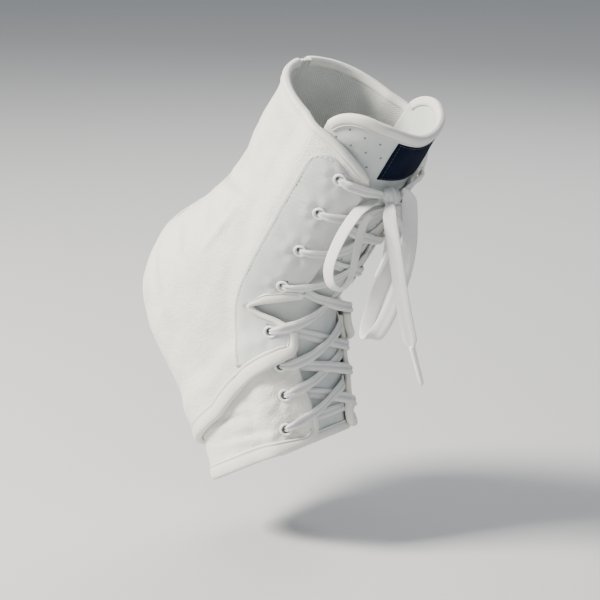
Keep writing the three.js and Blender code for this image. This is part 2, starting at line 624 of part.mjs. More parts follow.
function tongueEndBinding() {
  const half = tongueHalf(tongueEnd);
  const path = steps(-half, half, 12).map((run) => [tongueEnd, run]);
  return binding(path, folded(NARROW_TAPE, TONGUE_WALL), () => tongueTop);
}
function backTape() {
  const rows = [-0.995, ...upperRows.slice(1), ...lowerRows.slice(0, -2)];
  const path = rows.map((at) => [downTo(at), halfGirth(downTo(at))]);
  return binding(path, flatTape(BACK_TAPE), (u, run) => quarterOuter(u, foldBack(u, run)));
}

// Lacing: one flat lace, crossed from eyelet to eyelet and bunched where it goes through
const laceLow = tongueTop + LACE_CLEARANCE + LACE_THICKNESS / 2;
const laceOver = laceLow + LACE_THICKNESS + 1.6 * GAP;
const eyeletTop = SEAT_CLEARANCE + EYELET_LIP;
const besideEyelet = EYELET_OUTER / 2 + 3 * GAP;
const knotPlace = { u: downTo(KNOT_PLACE.at), run: KNOT_PLACE.inset * facingEdge };
const knotHeight = tongueTop + LABEL_WALL + 2 * GAP + LACE_THICKNESS + KNOT.high;

// Stations of the lace: place, height, width and thickness
function throughHole(i, side, up) {
  const place = eyeletSeats[i];
  const outer = i < SHAFT_EYELETS ? facingOuter : wrapOuter;
  const base = i < SHAFT_EYELETS ? quarterOuter : wrapOuter;
  const under = base(place.u, place.run) - WALL;
  const top = outer(place.u, place.run);
  const hole = {
    u: place.u, run: side * place.run, width: 0.55 * EYELET_HOLE, thick: 0.28 * EYELET_HOLE, axis: place,
  };
  const stations = [
    { ...hole, height: under - 2 * GAP },
    { ...hole, height: top + eyeletTop + 2.5 * GAP },
  ];
  return up ? stations : stations.reverse();
}
function crossing(i, side, over) {
  const from = eyeletSeats[i];
  const to = eyeletSeats[i - 1];
  const outer = i < SHAFT_EYELETS ? facingOuter : wrapOuter;
  // The lace of the first eyelet on the wrap rounds the quarter's corner before it climbs
  const linger = i === SHAFT_EYELETS ? 1 : 0.35;
  const sag = i === SHAFT_EYELETS ? LACE_THICKNESS : 0;
  const at = (run) => {
    const share = (side * run - from.run) / (-to.run - from.run);
    return lerp(from.u, to.u, lerp(share, share * share * (3 - 2 * share), linger)) + sag * (1 - share);
  };
  const station = (distance, height, width = LACE_WIDTH) => {
    const run = side * distance;
    return { u: at(run), run, height, width, thick: LACE_THICKNESS };
  };
  const edge = (seatIndex, u) => (seatIndex < SHAFT_EYELETS ? facingEdge : wrapFront(u));
  const leave = edge(i, from.u);
  const enter = edge(i - 1, to.u);
  const high = (distance) => outer(at(side * distance), distance) + GAP + LACE_THICKNESS / 2;
  const middle = over ? laceOver : laceLow;
  const first = from.run - besideEyelet;
  return [
    station(first, high(first) + eyeletTop + 3 * GAP, 0.8 * LACE_WIDTH),
    station(leave, high(leave + 1) + 2 * GAP),
    station(0.82 * leave, lerp(middle, high(leave), 0.6)),
    station(0.62 * leave, middle + sag),
    station(0.3 * leave, middle),
    station(0, middle),
    station(-0.3 * enter, middle),
    station(-0.62 * enter, middle),
    station(-0.9 * enter, laceLow),
    station(-1.15 * enter, laceLow),
    station(-to.run + besideEyelet, laceLow, 0.8 * LACE_WIDTH),
  ];
}
function topStrand(side) {
  const from = eyeletSeats[0];
  const reach = KNOT.across + GAP;
  const end = knotPlace.run + side * reach;
  const start = side * (facingEdge - 3);
  const station = (run, height, width = LACE_WIDTH) => {
    const share = (run - side * from.run) / (knotPlace.run - side * from.run);
    return { u: lerp(from.u, knotPlace.u, share), run, height, width, thick: LACE_THICKNESS };
  };
  const high = facingOuter(from.u, from.run) + GAP + LACE_THICKNESS / 2;
  const stations = [
    station(side * (from.run - besideEyelet), high + eyeletTop, 0.9 * LACE_WIDTH),
    station(side * (facingEdge + 1), high + GAP),
  ];
  if (side < 0) stations.push(station(start, high - 1.8), station(lerp(start, end, 0.5), laceOver + 1.2));
  stations.push(station(end, knotHeight + GAP, 0.7 * LACE_WIDTH));
  return stations;
}
function laceStations() {
  const last = EYELETS.length - 1;
  const half = (side) => {
    let now = side;
    let stations = [...throughHole(last, now, true)];
    for (let i = last; i > 0; i -= 1) {
      stations = [...stations, ...crossing(i, now, now * (i % 2 ? 1 : -1) > 0)];
      now = -now;
      stations = [...stations, ...throughHole(i - 1, now, true)];
    }
    return [...stations, ...topStrand(now)];
  };
  const bar = eyeletSeats[last];
  const inside = steps(-bar.run + besideEyelet, bar.run - besideEyelet, 8).map((run) => (
    { u: bar.u, run, height: laceLow, width: 0.9 * LACE_WIDTH, thick: LACE_THICKNESS }));
  return [...half(-1).reverse(), ...inside, ...half(1)];
}
function lacing() {
  const stations = laceStations();
  const middles = stations.map((s) => {
    if (!s.axis) return skin(s.u, s.run, s.height);
    const side = new THREE.Vector3(1, Math.sign(s.run), 1);
    const outer = eyeletSeats.indexOf(s.axis) < SHAFT_EYELETS ? facingOuter : wrapOuter;
    const above = s.height - outer(s.axis.u, s.axis.run);
    return s.axis.middle.clone().addScaledVector(s.axis.out, above).multiply(side);
  });
  let previous = null;
  const rings = stations.map((s, i) => {
    const before = middles[Math.max(i - 1, 0)];
    const after = middles[Math.min(i + 1, middles.length - 1)];
    const travel = after.clone().sub(before).normalize();
    const { down } = frame(s.u, s.run);
    const width = down.clone().addScaledVector(travel, -down.dot(travel)).normalize();
    if (previous && width.dot(previous) < 0) width.negate();
    previous = width;
    const thick = travel.clone().cross(width);
    const section = [[1, 1], [-1, 1], [-1, -1], [1, -1]];
    return section.map(([a, b]) => middles[i].clone()
      .addScaledVector(width, a * s.width / 2).addScaledVector(thick, b * s.thick / 2));
  });
  const { points, index, count } = loft(rings);
  const end = (rings.length - 1) * count;
  for (let j = 1; j < count - 1; j += 1) index.push(0, j + 1, j, end, end + j, end + j + 1);
  return facingOut(toGeometry(points, index));
}

// Knot and the free ends
const knotMiddle = skin(knotPlace.u, knotPlace.run, knotHeight);
function knot() {
  const { out, round } = frame(knotPlace.u, knotPlace.run);
  const lengthwise = out.clone().cross(round);
  const ball = new THREE.SphereGeometry(1, 12, 8);
  ball.deleteAttribute('normal');
  ball.deleteAttribute('uv');
  const body = mergeVertices(ball, 1e-4);
  body.scale(KNOT.across, KNOT.along, KNOT.high);
  body.applyMatrix4(new THREE.Matrix4().makeBasis(round, lengthwise, out));
  body.translate(knotMiddle.x, knotMiddle.y, knotMiddle.z);
  return facingOut(body);
}
// A flat cord along a route, its width laid towards the given direction at its start
function cord(route, widthDirection, width, thick, step = 9) {
  const path = new THREE.CatmullRomCurve3(route.map((p) => new THREE.Vector3(...p)));
  const count = Math.max(4, Math.round(path.getLength() / step));
  const { normals, binormals } = path.computeFrenetFrames(count, false);
  const roll = Math.atan2(widthDirection.dot(binormals[0]), widthDirection.dot(normals[0]));
  const section = [
    [1, 0.35], [0.8, 1], [-0.8, 1], [-1, 0.35], [-1, -0.35], [-0.8, -1], [0.8, -1], [1, -0.35],
  ].map(([a, b]) => new THREE.Vector2(a * width / 2, b * thick / 2).rotateAround(new THREE.Vector2(), roll));
  const shape = new THREE.Shape(section);
  const solid = new THREE.ExtrudeGeometry(shape, { steps: count, extrudePath: path, bevelEnabled: false });
  solid.deleteAttribute('normal');
  solid.deleteAttribute('uv');
  return facingOut(mergeVertices(solid, 1e-4));
}
function aglet(route) {
  const end = new THREE.Vector3(...route.at(-1));
  const heading = end.clone().sub(new THREE.Vector3(...route.at(-2))).normalize();
  const tube = new THREE.CylinderGeometry(AGLET.width / 2, AGLET.width * 0.42, AGLET.length, 10);
  tube.deleteAttribute('normal');
  tube.deleteAttribute('uv');
  const body = mergeVertices(tube, 1e-4);
  body.applyQuaternion(new THREE.Quaternion().setFromUnitVectors(new THREE.Vector3(0, -1, 0), heading));
  const middle = end.addScaledVector(heading, GAP + AGLET.length / 2);
  body.translate(middle.x, middle.y, middle.z);
  return facingOut(body);
}

// Materials
function material(color, roughness) {
  return new THREE.MeshStandardMaterial({ color, roughness, metalness: 0 });
}
const vinyl = () => material(0xe9e6dd, 0.55);
const cloth = () => material(0xc6cccb, 0.8);
const tape = () => material(0xeeeae0, 0.7);
const enamel = () => material(0xdfe2e2, 0.35);
const braid = () => material(0xeceae6, 0.85);
const navy = () => material(0x1d2536, 0.7);
const plastic = () => material(0xf1f1ee, 0.3);

const brace = new THREE.Group();
function add(name, geometry, look) {
  const mesh = new THREE.Mesh(geometry, look);
  mesh.name = name;
  brace.add(mesh);
}
function addPair(name, geometry, look) {
  add(`${name}_lateral`, geometry, look());
  add(`${name}_medial`, mirrored(geometry), look());
}

addPair('quarter', quarter(), vinyl);
addPair('facing', facing(), cloth);
add('forefoot_wrap', forefoot(), vinyl());
add('tongue', tongue(), cloth());
add('label_patch', label(), navy());
addPair('rim_binding', rimBinding(), tape);
addPair('notch_binding', notchBinding(), tape);
addPair('rear_edge_binding', rearEdgeBinding(), tape);
add('hem_binding', hemBinding(), tape());
add('tongue_top_binding', tongueTopBinding(), tape());
add('tongue_end_binding', tongueEndBinding(), tape());
add('heel_seam_tape', backTape(), tape());
eyeletSeats.forEach((place, i) => {
  const through = WALL + (i < SHAFT_EYELETS ? GAP + FACING_WALL : 0) - GAP;
  addPair(`eyelet_${i + 1}`, eyeletGeometry(place, through), enamel);
});
add('lacing', lacing(), braid());
add('bow_knot', knot(), braid());
const toViewer = new THREE.Vector3(0.63, -0.78, 0);
const sideways = new THREE.Vector3(0.78, 0.63, 0);
add('lace_loop_near', cord(NEAR_LOOP, toViewer, LACE_OPEN, LACE_THICKNESS), braid());
add('lace_loop_far', cord(FAR_LOOP, sideways, LACE_OPEN, LACE_THICKNESS), braid());
add('lace_end_near', cord(NEAR_END, sideways, LACE_OPEN, LACE_THICKNESS, 10), braid());
add('lace_end_far', cord(FAR_END, sideways, LACE_WIDTH, LACE_THICKNESS, 8), braid());
add('aglet_near', aglet(NEAR_END), plastic());
add('aglet_far', aglet(FAR_END), plastic());

export default brace;
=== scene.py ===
import math

import bmesh
import bpy
import numpy as np
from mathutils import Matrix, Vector


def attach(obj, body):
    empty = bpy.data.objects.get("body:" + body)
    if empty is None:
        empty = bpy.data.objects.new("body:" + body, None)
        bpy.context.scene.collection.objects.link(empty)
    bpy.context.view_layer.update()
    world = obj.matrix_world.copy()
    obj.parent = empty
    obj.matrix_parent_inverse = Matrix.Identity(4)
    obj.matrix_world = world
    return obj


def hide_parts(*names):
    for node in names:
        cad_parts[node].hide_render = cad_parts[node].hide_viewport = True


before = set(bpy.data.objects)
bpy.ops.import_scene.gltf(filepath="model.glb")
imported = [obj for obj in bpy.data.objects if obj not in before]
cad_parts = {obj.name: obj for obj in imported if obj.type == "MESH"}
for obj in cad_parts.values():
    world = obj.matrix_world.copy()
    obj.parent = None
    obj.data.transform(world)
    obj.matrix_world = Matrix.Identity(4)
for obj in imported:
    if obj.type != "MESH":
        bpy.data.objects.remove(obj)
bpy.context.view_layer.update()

mm = 0.001
rootBody = "root"
print("frame loaded:", len(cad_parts), "nodes")

# camera at the photo's angle, moved sideways by its shift so that the brace sits where it does there
camera = {"azimuth": 39, "elevation": 15, "distance": 1.1, "lens": 120, "shift": (0.0617, 0.0033)}


def addObject(name, data):
    made = bpy.data.objects.new(name, data)
    bpy.context.collection.objects.link(made)
    return made


def turnTo(thing, way):
    thing.rotation_mode = "QUATERNION"
    thing.rotation_quaternion = way.to_track_quat("-Z", "Y")


def makeCamera(spec):
    a, e = math.radians(spec["azimuth"]), math.radians(spec["elevation"])
    back = Vector((math.sin(a) * math.cos(e), -math.cos(a) * math.cos(e), math.sin(e)))
    data = bpy.data.cameras.new("camera")
    data.lens = spec["lens"]
    data.sensor_width = 36
    data.shift_x, data.shift_y = spec["shift"]
    eye = addObject("camera", data)
    eye.location = back * spec["distance"]
    turnTo(eye, -back)
    bpy.context.scene.camera = eye


makeCamera(camera)
print("camera set")


# node helpers: a node stands for its first output
def link(tree, value, target):
    value = value.outputs[0] if isinstance(value, bpy.types.Node) else value
    if isinstance(value, bpy.types.NodeSocket):
        tree.links.new(value, target)
    else:
        target.default_value = value


def put(tree, kind, props=None, **sockets):
    made = tree.nodes.new(kind if "Node" in kind else "ShaderNode" + kind)
    for key, value in (props or {}).items():
        setattr(made, key, value)
    for key, value in sockets.items():
        number = key[1:]
        link(tree, value, made.inputs[int(number) if key[0] == "i" and number.isdigit() else key.replace("_", " ")])
    return made


def sums(tree, operation, a, b):
    return put(tree, "Math", {"operation": operation}, i0=a, i1=b)


def plus(tree, a, b):
    return sums(tree, "ADD", a, b)


def times(tree, a, b):
    return sums(tree, "MULTIPLY", a, b)


def mixColours(tree, share, a, b):
    return put(tree, "Mix", {"data_type": "RGBA"}, i0=share, i6=a, i7=b).outputs[2]


def ramp(tree, value, low, high):
    return put(tree, "MapRange", {"interpolation_type": "SMOOTHSTEP"}, Value=value, From_Min=low, From_Max=high)


def noise(tree, at, scale, detail, roughness=0.5):
    return put(tree, "TexNoise", Vector=at, Scale=scale, Detail=detail, Roughness=roughness)


def wave(tree, at, pitch, direction="X", **more):
    scale = 3.14 / pitch  # the UVs are in centimetres, the pitch in millimetres
    return put(tree, "TexWave", {"bands_direction": direction}, Vector=at, Scale=scale, **more).outputs["Fac"]


# how much painted shade a spot gets for lying in a fold or a groove, from the piece's own attribute
def paintedShadeOf(tree):
    return put(tree, "Attribute", {"attribute_name": "paintedShade"}).outputs["Fac"]


def startMaterial(name, roughness, specular, sheen, coat=0.0):
    look = bpy.data.materials.new(name)
    look.use_nodes = True
    shader = look.node_tree.nodes["Principled BSDF"]
    for key, value in {"Roughness": roughness, "Specular IOR Level": specular, "Sheen Weight": sheen,
                       "Sheen Roughness": 0.45, "Coat Weight": coat, "Coat Roughness": 0.25}.items():
        shader.inputs[key].default_value = value
    return look, look.node_tree


def finishMaterial(look, colour, height, depth, strength, roughness=None):
    tree = look.node_tree
    bump = put(tree, "Bump", Strength=strength, Distance=depth, Height=height)
    for key, value in (("Normal", bump), ("Base Color", colour), ("Roughness", roughness)):
        if value is not None:
            link(tree, value, tree.nodes["Principled BSDF"].inputs[key])
    return look


# padded vinyl: pebbled grain on Object coordinates, faint clouding, and painted shade that turns it greyer where it
# dips
def vinylLook(name, spec):
    look, tree = startMaterial(name, spec["roughness"], 0.42, 0.05, 0.04)
    at = put(tree, "TexCoord").outputs["Object"]
    cells = put(tree, "TexVoronoi", {"feature": "SMOOTH_F1"}, Vector=at, Scale=spec["grain"], Smoothness=0.6)
    pores = noise(tree, at, spec["grain"] * 2.3, 3.0, 0.6)
    rumple = noise(tree, at, 95.0, 4.0, 0.55)
    clouds = noise(tree, at, 16.0, 5.0, 0.6)
    worn = mixColours(tree, ramp(tree, clouds, 0.3, 0.75), spec["light"], spec["deep"])
    # painted shade: greyer towards the dip colour in folds and grooves
    colour = mixColours(tree, times(tree, paintedShadeOf(tree), 0.75), worn, spec["dip"])
    fine = plus(tree, times(tree, cells, 0.8), times(tree, pores, 0.45))
    height = plus(tree, fine, times(tree, rumple, 4.0))
    rough = plus(tree, times(tree, pores, 0.22), spec["roughness"] - 0.1)
    return finishMaterial(look, colour, height, 0.00034, 0.85, rough)


# woven cloth: two crossed waves on the piece's own UV, in threads of the given pitch, with painted shade in the gaps
# between threads and in folds
def weaveLook(name, spec):
    look, tree = startMaterial(name, spec["roughness"], spec.get("specular", 0.25), spec.get("sheen", 0.25))
    uv = put(tree, "UVMap", {"uv_map": "UVMap"})
    turned = put(tree, "Mapping", Vector=uv, Rotation=(0, 0, math.radians(spec.get("turn", 0))))
    warp = wave(tree, turned, spec["pitch"], Distortion=0.6, Detail=1.0)
    weft = wave(tree, turned, spec["pitch"], "Y", Distortion=0.6, Detail=1.0)
    threads = sums(tree, "MAXIMUM", warp, times(tree, weft, spec.get("weft", 0.9)))
    fuzz = noise(tree, uv, 26.0, 6.0, 0.7)
    clouds = noise(tree, uv, 0.7, 4.0)
    base = mixColours(tree, ramp(tree, clouds, 0.3, 0.7), spec["light"], spec["deep"])
    # painted shade: the gaps between threads and the folds turn towards the dip colour
    shadeInGaps = times(tree, sums(tree, "SUBTRACT", 1.0, threads), spec.get("shadeInGaps", 0.5))
    colour = mixColours(tree, plus(tree, shadeInGaps, times(tree, paintedShadeOf(tree), 0.55)), base, spec["dip"])
    height = plus(tree, threads, times(tree, fuzz, 0.9))
    return finishMaterial(look, colour, height, spec["pitch"] * 0.3 * mm, 0.8)


# flat braid: chevrons that meet along the middle of each half of the lace, with painted shade between the yarns and in
# the grooves
def braidLook(name, spec):
    look, tree = startMaterial(name, spec["roughness"], 0.22, 0.35)
    uv = put(tree, "UVMap", {"uv_map": "UVMap"})
    parts = put(tree, "SeparateXYZ", i0=uv)
    lobe = sums(tree, "PINGPONG", parts, spec["lobe"] / 10)
    chevron = put(tree, "CombineXYZ", i0=plus(tree, parts.outputs[1], times(tree, lobe, 1.1)))
    plait = wave(tree, chevron, spec["pitch"], Distortion=0.5, Detail=1.0)
    cross = wave(tree, uv, spec["pitch"] * 0.8)
    yarn = plus(tree, times(tree, plait, 0.75), times(tree, cross, 0.35))
    # painted shade: the gaps between yarns and the grooves turn towards the dip colour
    shadeInGaps = times(tree, sums(tree, "SUBTRACT", 1.0, yarn), 0.35)
    colour = mixColours(tree, plus(tree, shadeInGaps, times(tree, paintedShadeOf(tree), 0.6)), spec["light"], spec["dip"])
    height = plus(tree, yarn, times(tree, noise(tree, uv, 30.0, 5.0, 0.7), 0.6))
    return finishMaterial(look, colour, height, spec["pitch"] * 0.32 * mm, 0.9)


# enamel and moulded plastic: smooth, with a slight waviness and uneven gloss
def smoothLook(name, spec):
    look, tree = startMaterial(name, spec["roughness"], 0.5, 0.0, spec.get("coat", 0.0))
    wear = noise(tree, put(tree, "TexCoord").outputs["Object"], spec["scale"], 5.0, 0.65)
    colour = mixColours(tree, ramp(tree, wear, 0.5, 0.85), spec["light"], spec["dip"])
    rough = plus(tree, times(tree, wear, 0.2), spec["roughness"] - 0.08)
    return finishMaterial(look, colour, wear, 0.00004, 0.6, rough)


def rgb(r, g, b):
    return (r, g, b, 1.0)


# each look's dip colour is the painted shade it turns to in folds, grooves and the gaps between threads; in the smooth
# looks it is a random darker tone
vinyl = vinylLook("cream_vinyl", {
    "light": rgb(0.80, 0.765, 0.68), "deep": rgb(0.73, 0.715, 0.655), "dip": rgb(0.38, 0.40, 0.395),
    "grain": 900.0, "roughness": 0.5})
# the facing cloth's greyer, cooler tone is partly its own and partly painted shade of its front-facing side
facingCloth = weaveLook("facing_cloth", {
    "light": rgb(0.69, 0.71, 0.68), "deep": rgb(0.63, 0.655, 0.635), "dip": rgb(0.30, 0.325, 0.32),
    "pitch": 0.62, "roughness": 0.8, "turn": 45, "shadeInGaps": 0.35})
tongueCloth = weaveLook("tongue_cloth", {
    "light": rgb(0.67, 0.695, 0.67), "deep": rgb(0.60, 0.635, 0.615), "dip": rgb(0.28, 0.31, 0.30),
    "pitch": 0.7, "roughness": 0.85, "shadeInGaps": 0.3})
bindingTape = weaveLook("binding_tape", {
    "light": rgb(0.86, 0.84, 0.775), "deep": rgb(0.79, 0.78, 0.73), "dip": rgb(0.40, 0.41, 0.40),
    "pitch": 0.42, "roughness": 0.66, "weft": 0.6, "shadeInGaps": 0.22, "sheen": 0.3})
laceBraid = braidLook("lace_braid", {
    "light": rgb(0.89, 0.885, 0.85), "dip": rgb(0.40, 0.42, 0.42), "pitch": 0.95, "lobe": 2.0, "roughness": 0.78})
thread = weaveLook("sewing_thread", {
    "light": rgb(0.84, 0.83, 0.78), "deep": rgb(0.80, 0.79, 0.75), "dip": rgb(0.5, 0.5, 0.48),
    "pitch": 0.3, "roughness": 0.55})
enamel = smoothLook("white_enamel", {
    "light": rgb(0.88, 0.885, 0.875), "dip": rgb(0.66, 0.67, 0.66), "scale": 420.0, "roughness": 0.28, "coat": 0.5})
plastic = smoothLook("aglet_plastic", {
    "light": rgb(0.87, 0.87, 0.85), "dip": rgb(0.72, 0.73, 0.72), "scale": 500.0, "roughness": 0.25, "coat": 0.3})
# painted shade: the dark colour of the lenses that stand for the punched holes
shadowHole = smoothLook("painted_hole_shade", {
    "light": rgb(0.20, 0.215, 0.21), "dip": rgb(0.12, 0.13, 0.13), "scale": 800.0, "roughness": 0.85})
navy = weaveLook("navy_label", {
    "light": rgb(0.006, 0.010, 0.028), "deep": rgb(0.004, 0.008, 0.021), "dip": rgb(0.001, 0.002, 0.006),
    "pitch": 0.5, "roughness": 0.85, "turn": 30, "shadeInGaps": 0.5, "sheen": 0.0, "specular": 0.06})
lining = weaveLook("lining_knit", {
    "light": rgb(0.66, 0.665, 0.63), "deep": rgb(0.60, 0.61, 0.585), "dip": rgb(0.30, 0.31, 0.30),
    "pitch": 1.1, "roughness": 0.9, "turn": 45, "shadeInGaps": 0.45, "sheen": 0.4})
navyThread = weaveLook("navy_thread", {
    "light": rgb(0.05, 0.065, 0.12), "deep": rgb(0.04, 0.05, 0.10), "dip": rgb(0.01, 0.012, 0.03),
    "pitch": 0.3, "roughness": 0.5})
print("materials made")


# mesh helpers
def meshPiece(name, points, faces, look, uv=None, paintedShade=None):
    data = bpy.data.meshes.new(name)
    data.from_pydata(np.asarray(points, float).tolist(), [], faces)
    if uv is not None:
        corners = np.empty(len(data.loops), np.int32)
        data.loops.foreach_get("vertex_index", corners)
        data.uv_layers.new(name="UVMap").data.foreach_set("uv", np.asarray(uv, np.float32)[corners].ravel())
    field = data.attributes.new("paintedShade", "FLOAT", "POINT")
    field.data.foreach_set("value", np.asarray(np.zeros(len(points)) if paintedShade is None else paintedShade, np.float32))
    data.polygons.foreach_set("use_smooth", np.ones(len(data.polygons), bool))
    data.materials.append(look)
    data.update()
    return addObject(name, data)


# faces of a closed tube of rings; inward turns them over where the rings run the other way round
def tubeFaces(count, n, inward=False):
    faces = []
    for i in range(count - 1):
        for j in range(n):
            a, b, c, d = i * n + j, i * n + (j + 1) % n, (i + 1) * n + (j + 1) % n, (i + 1) * n + j
            faces.append((a, d, c, b) if inward else (a, b, c, d))
    ends = [tuple(range(n))[::-1], tuple(range((count - 1) * n, count * n))]
    return faces + ([end[::-1] for end in ends] if inward else ends)


def tubePiece(name, rings, faces, look, across, lengths, paintedShade):
    uv = np.stack(np.broadcast_arrays(across, lengths[:, None] / 10), -1).reshape(-1, 2)
    dark = np.broadcast_to(paintedShade, rings.shape[:2]).reshape(-1)
    return meshPiece(name, rings.reshape(-1, 3) * mm, faces, look, uv, dark)


def lengthsOf(line):
    return np.concatenate([[0], np.cumsum(np.linalg.norm(np.diff(line, axis=0), axis=1))])


def squarer(values, power):
    return np.sign(values) * np.abs(values) ** power


def bell(away, width):
    return np.exp(-(away / width) ** 2)


def circle(count):
    return np.linspace(0, 2 * math.pi, count + 1)[:-1]


def place(piece, slotName, *nodes):
    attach(piece, rootBody)
    if nodes:
        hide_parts(*nodes)


# smooth random relief from a few plane waves, the same in every run
def ripples(points, wavelength, seed):
    count = 14
    pick = np.random.default_rng(seed)
    ways = pick.normal(size=(count, 3))
    ways /= np.linalg.norm(ways, axis=1)[:, None]
    ways *= 2 * math.pi / (wavelength * pick.uniform(0.7, 1.5, count))[:, None]
    phases = pick.uniform(0, 2 * math.pi, count)
    flat = points.reshape(-1, 3)
    value = np.cos(flat @ ways.T + phases).sum(1) / math.sqrt(count / 2)
    return value.reshape(points.shape[:-1])


def smooth(x, low, high):
    t = np.clip((x - low) / (high - low), 0, 1)
    return t * t * (3 - 2 * t)


def lerp(a, b, t):
    return a + (b - a) * t


# the form that the brace is shaped to, in millimetres: u runs down its front line from the
# ankle crease, run goes round it from the front
form = {
    "shaftRise": 100.0, "footRun": 71.0, "shaftDepth": 84.0, "shaftWidth": 76.0,
    "shinLean": 33.0, "instepDrop": 86.0, "footTurn": 62.0,
    "creaseRadius": 35.0, "creaseForward": 44.5, "creaseAbove": 6.0,
    "columns": ("at", "tilt", "depth", "width", "belly", "front", "back"),
    "rows": (
        (-1.28, 0.00, 1.000, 1.000, 0.50, 2.1, 2.1),
        (-0.95, 0.00, 1.000, 0.975, 0.50, 2.1, 2.1),
        (-0.64, 0.03, 1.000, 0.935, 0.48, 2.1, 2.1),
        (-0.42, 0.11, 1.010, 0.920, 0.46, 2.1, 2.0),
        (-0.24, 0.23, 1.130, 0.908, 0.44, 2.1, 2.0),
        (-0.08, 0.38, 1.380, 0.895, 0.42, 2.1, 2.1),
        (0.10, 0.54, 1.465, 0.895, 0.44, 2.2, 2.4),
        (0.34, 0.74, 1.262, 0.920, 0.50, 2.2, 2.5),
        (0.65, 0.92, 1.012, 0.975, 0.55, 2.2, 2.5),
        (1.03, 1.00, 0.845, 1.040, 0.60, 2.2, 2.6),
    ),
}


def downTo(share):
    share = np.asarray(share, float)
    return share * np.where(share < 0, form["shaftRise"], form["footRun"])


def curved(xs, ys, x):
    xs, ys = np.asarray(xs, float), np.asarray(ys, float)
    low, high = np.maximum(np.arange(len(xs)) - 1, 0), np.minimum(np.arange(len(xs)) + 1, len(xs) - 1)
    slope = (ys[high] - ys[low]) / (xs[high] - xs[low])
    k = np.clip(np.searchsorted(xs, x) - 1, 0, len(xs) - 2)
    h = xs[k + 1] - xs[k]
    t = np.clip((x - xs[k]) / h, 0, 1)
    return ((2 * t**3 - 3 * t**2 + 1) * ys[k] + (t**3 - 2 * t**2 + t) * h * slope[k]
            + (3 * t**2 - 2 * t**3) * ys[k + 1] + (t**3 - t**2) * h * slope[k + 1])


def layForm():
    us = np.arange(-128.0, 86.01, 0.5)
    table = dict(zip(form["columns"], np.array(form["rows"]).T))
    xs = downTo(table["at"])
    read = {key: curved(xs, table[key], us)[:, None] for key in form["columns"][1:]}
    depth, side = read["depth"] * form["shaftDepth"], read["width"] * form["shaftWidth"] / 2
    belly = read["belly"] * depth
    heading = math.pi - math.radians(form["shinLean"]) + read["tilt"] * math.radians(form["footTurn"])
    turns = np.linspace(0, math.pi, 241)[None, :]
    ahead = turns <= math.pi / 2
    power = 2 / np.where(ahead, read["front"], read["back"])
    reach = np.abs(np.cos(turns)) ** power
    along = np.where(ahead, belly * (1 - reach), belly + (depth - belly) * reach)
    across = side * np.abs(np.sin(turns)) ** power
    steps = np.hypot(np.diff(along, axis=1), np.diff(across, axis=1))
    runs = np.concatenate([np.zeros((len(us), 1)), np.cumsum(steps, axis=1)], axis=1)
    shares = np.linspace(0, 1, 321)
    along = np.array([np.interp(shares * r[-1], r, a) for r, a in zip(runs, along)])
    across = np.array([np.interp(shares * r[-1], r, a) for r, a in zip(runs, across)])
    top, foot = -(math.pi / 2 + math.radians(form["shinLean"])), -math.radians(form["instepDrop"])
    arc, middle = form["creaseRadius"] * (foot - top), (top + foot) / 2
    bent = np.clip(us, -arc / 2, arc / 2)
    turned, beyond = middle + bent / form["creaseRadius"], us - np.clip(us, -arc / 2, arc / 2)
    x = form["creaseForward"] + form["creaseRadius"] * (np.sin(turned) - math.sin(middle)) + beyond * np.cos(turned)
    z = form["creaseAbove"] - form["creaseRadius"] * (np.cos(turned) - math.cos(middle)) + beyond * np.sin(turned)
    skinTable = np.stack([x[:, None] + along * np.cos(heading), across, z[:, None] + along * np.sin(heading)], -1)
    return us, runs[:, -1], skinTable


formLevels, formHalves, formSkin = layForm()


def halfGirth(u):
    return np.interp(u, formLevels, formHalves)


def formPoint(u, run):
    u, run = np.broadcast_arrays(np.asarray(u, float), np.asarray(run, float))
    share = np.abs(run) / halfGirth(u)
    side = np.where(run < 0, -1.0, 1.0) * np.where(share > 1, -1.0, 1.0)
    share = np.where(share > 1, 2 - share, share)
    row = np.clip((u - formLevels[0]) / 0.5, 0, len(formLevels) - 1.001)
    col = np.clip(share * 320, 0, 319.999)
    i, j = row.astype(int), col.astype(int)
    a, b = (row - i)[..., None], (col - j)[..., None]
    point = (formSkin[i, j] * (1 - a) * (1 - b) + formSkin[i + 1, j] * a * (1 - b)
             + formSkin[i, j + 1] * (1 - a) * b + formSkin[i + 1, j + 1] * a * b)
    point[..., 1] *= -side
    return point


def unit(v):
    return v / np.maximum(np.linalg.norm(v, axis=-1, keepdims=True), 1e-9)


def formFrame(u, run):
    probe = 1.5
    down = (formPoint(u + probe, run) - formPoint(u - probe, run)) / (2 * probe)
    around = unit(formPoint(u, run + probe) - formPoint(u, run - probe))
    return down, around, unit(np.cross(around, down))


def skin(u, run, height):
    u, run = np.broadcast_arrays(np.asarray(u, float), np.asarray(run, float))
    return formPoint(u, run) + formFrame(u, run)[2] * np.broadcast_to(height, u.shape)[..., None]


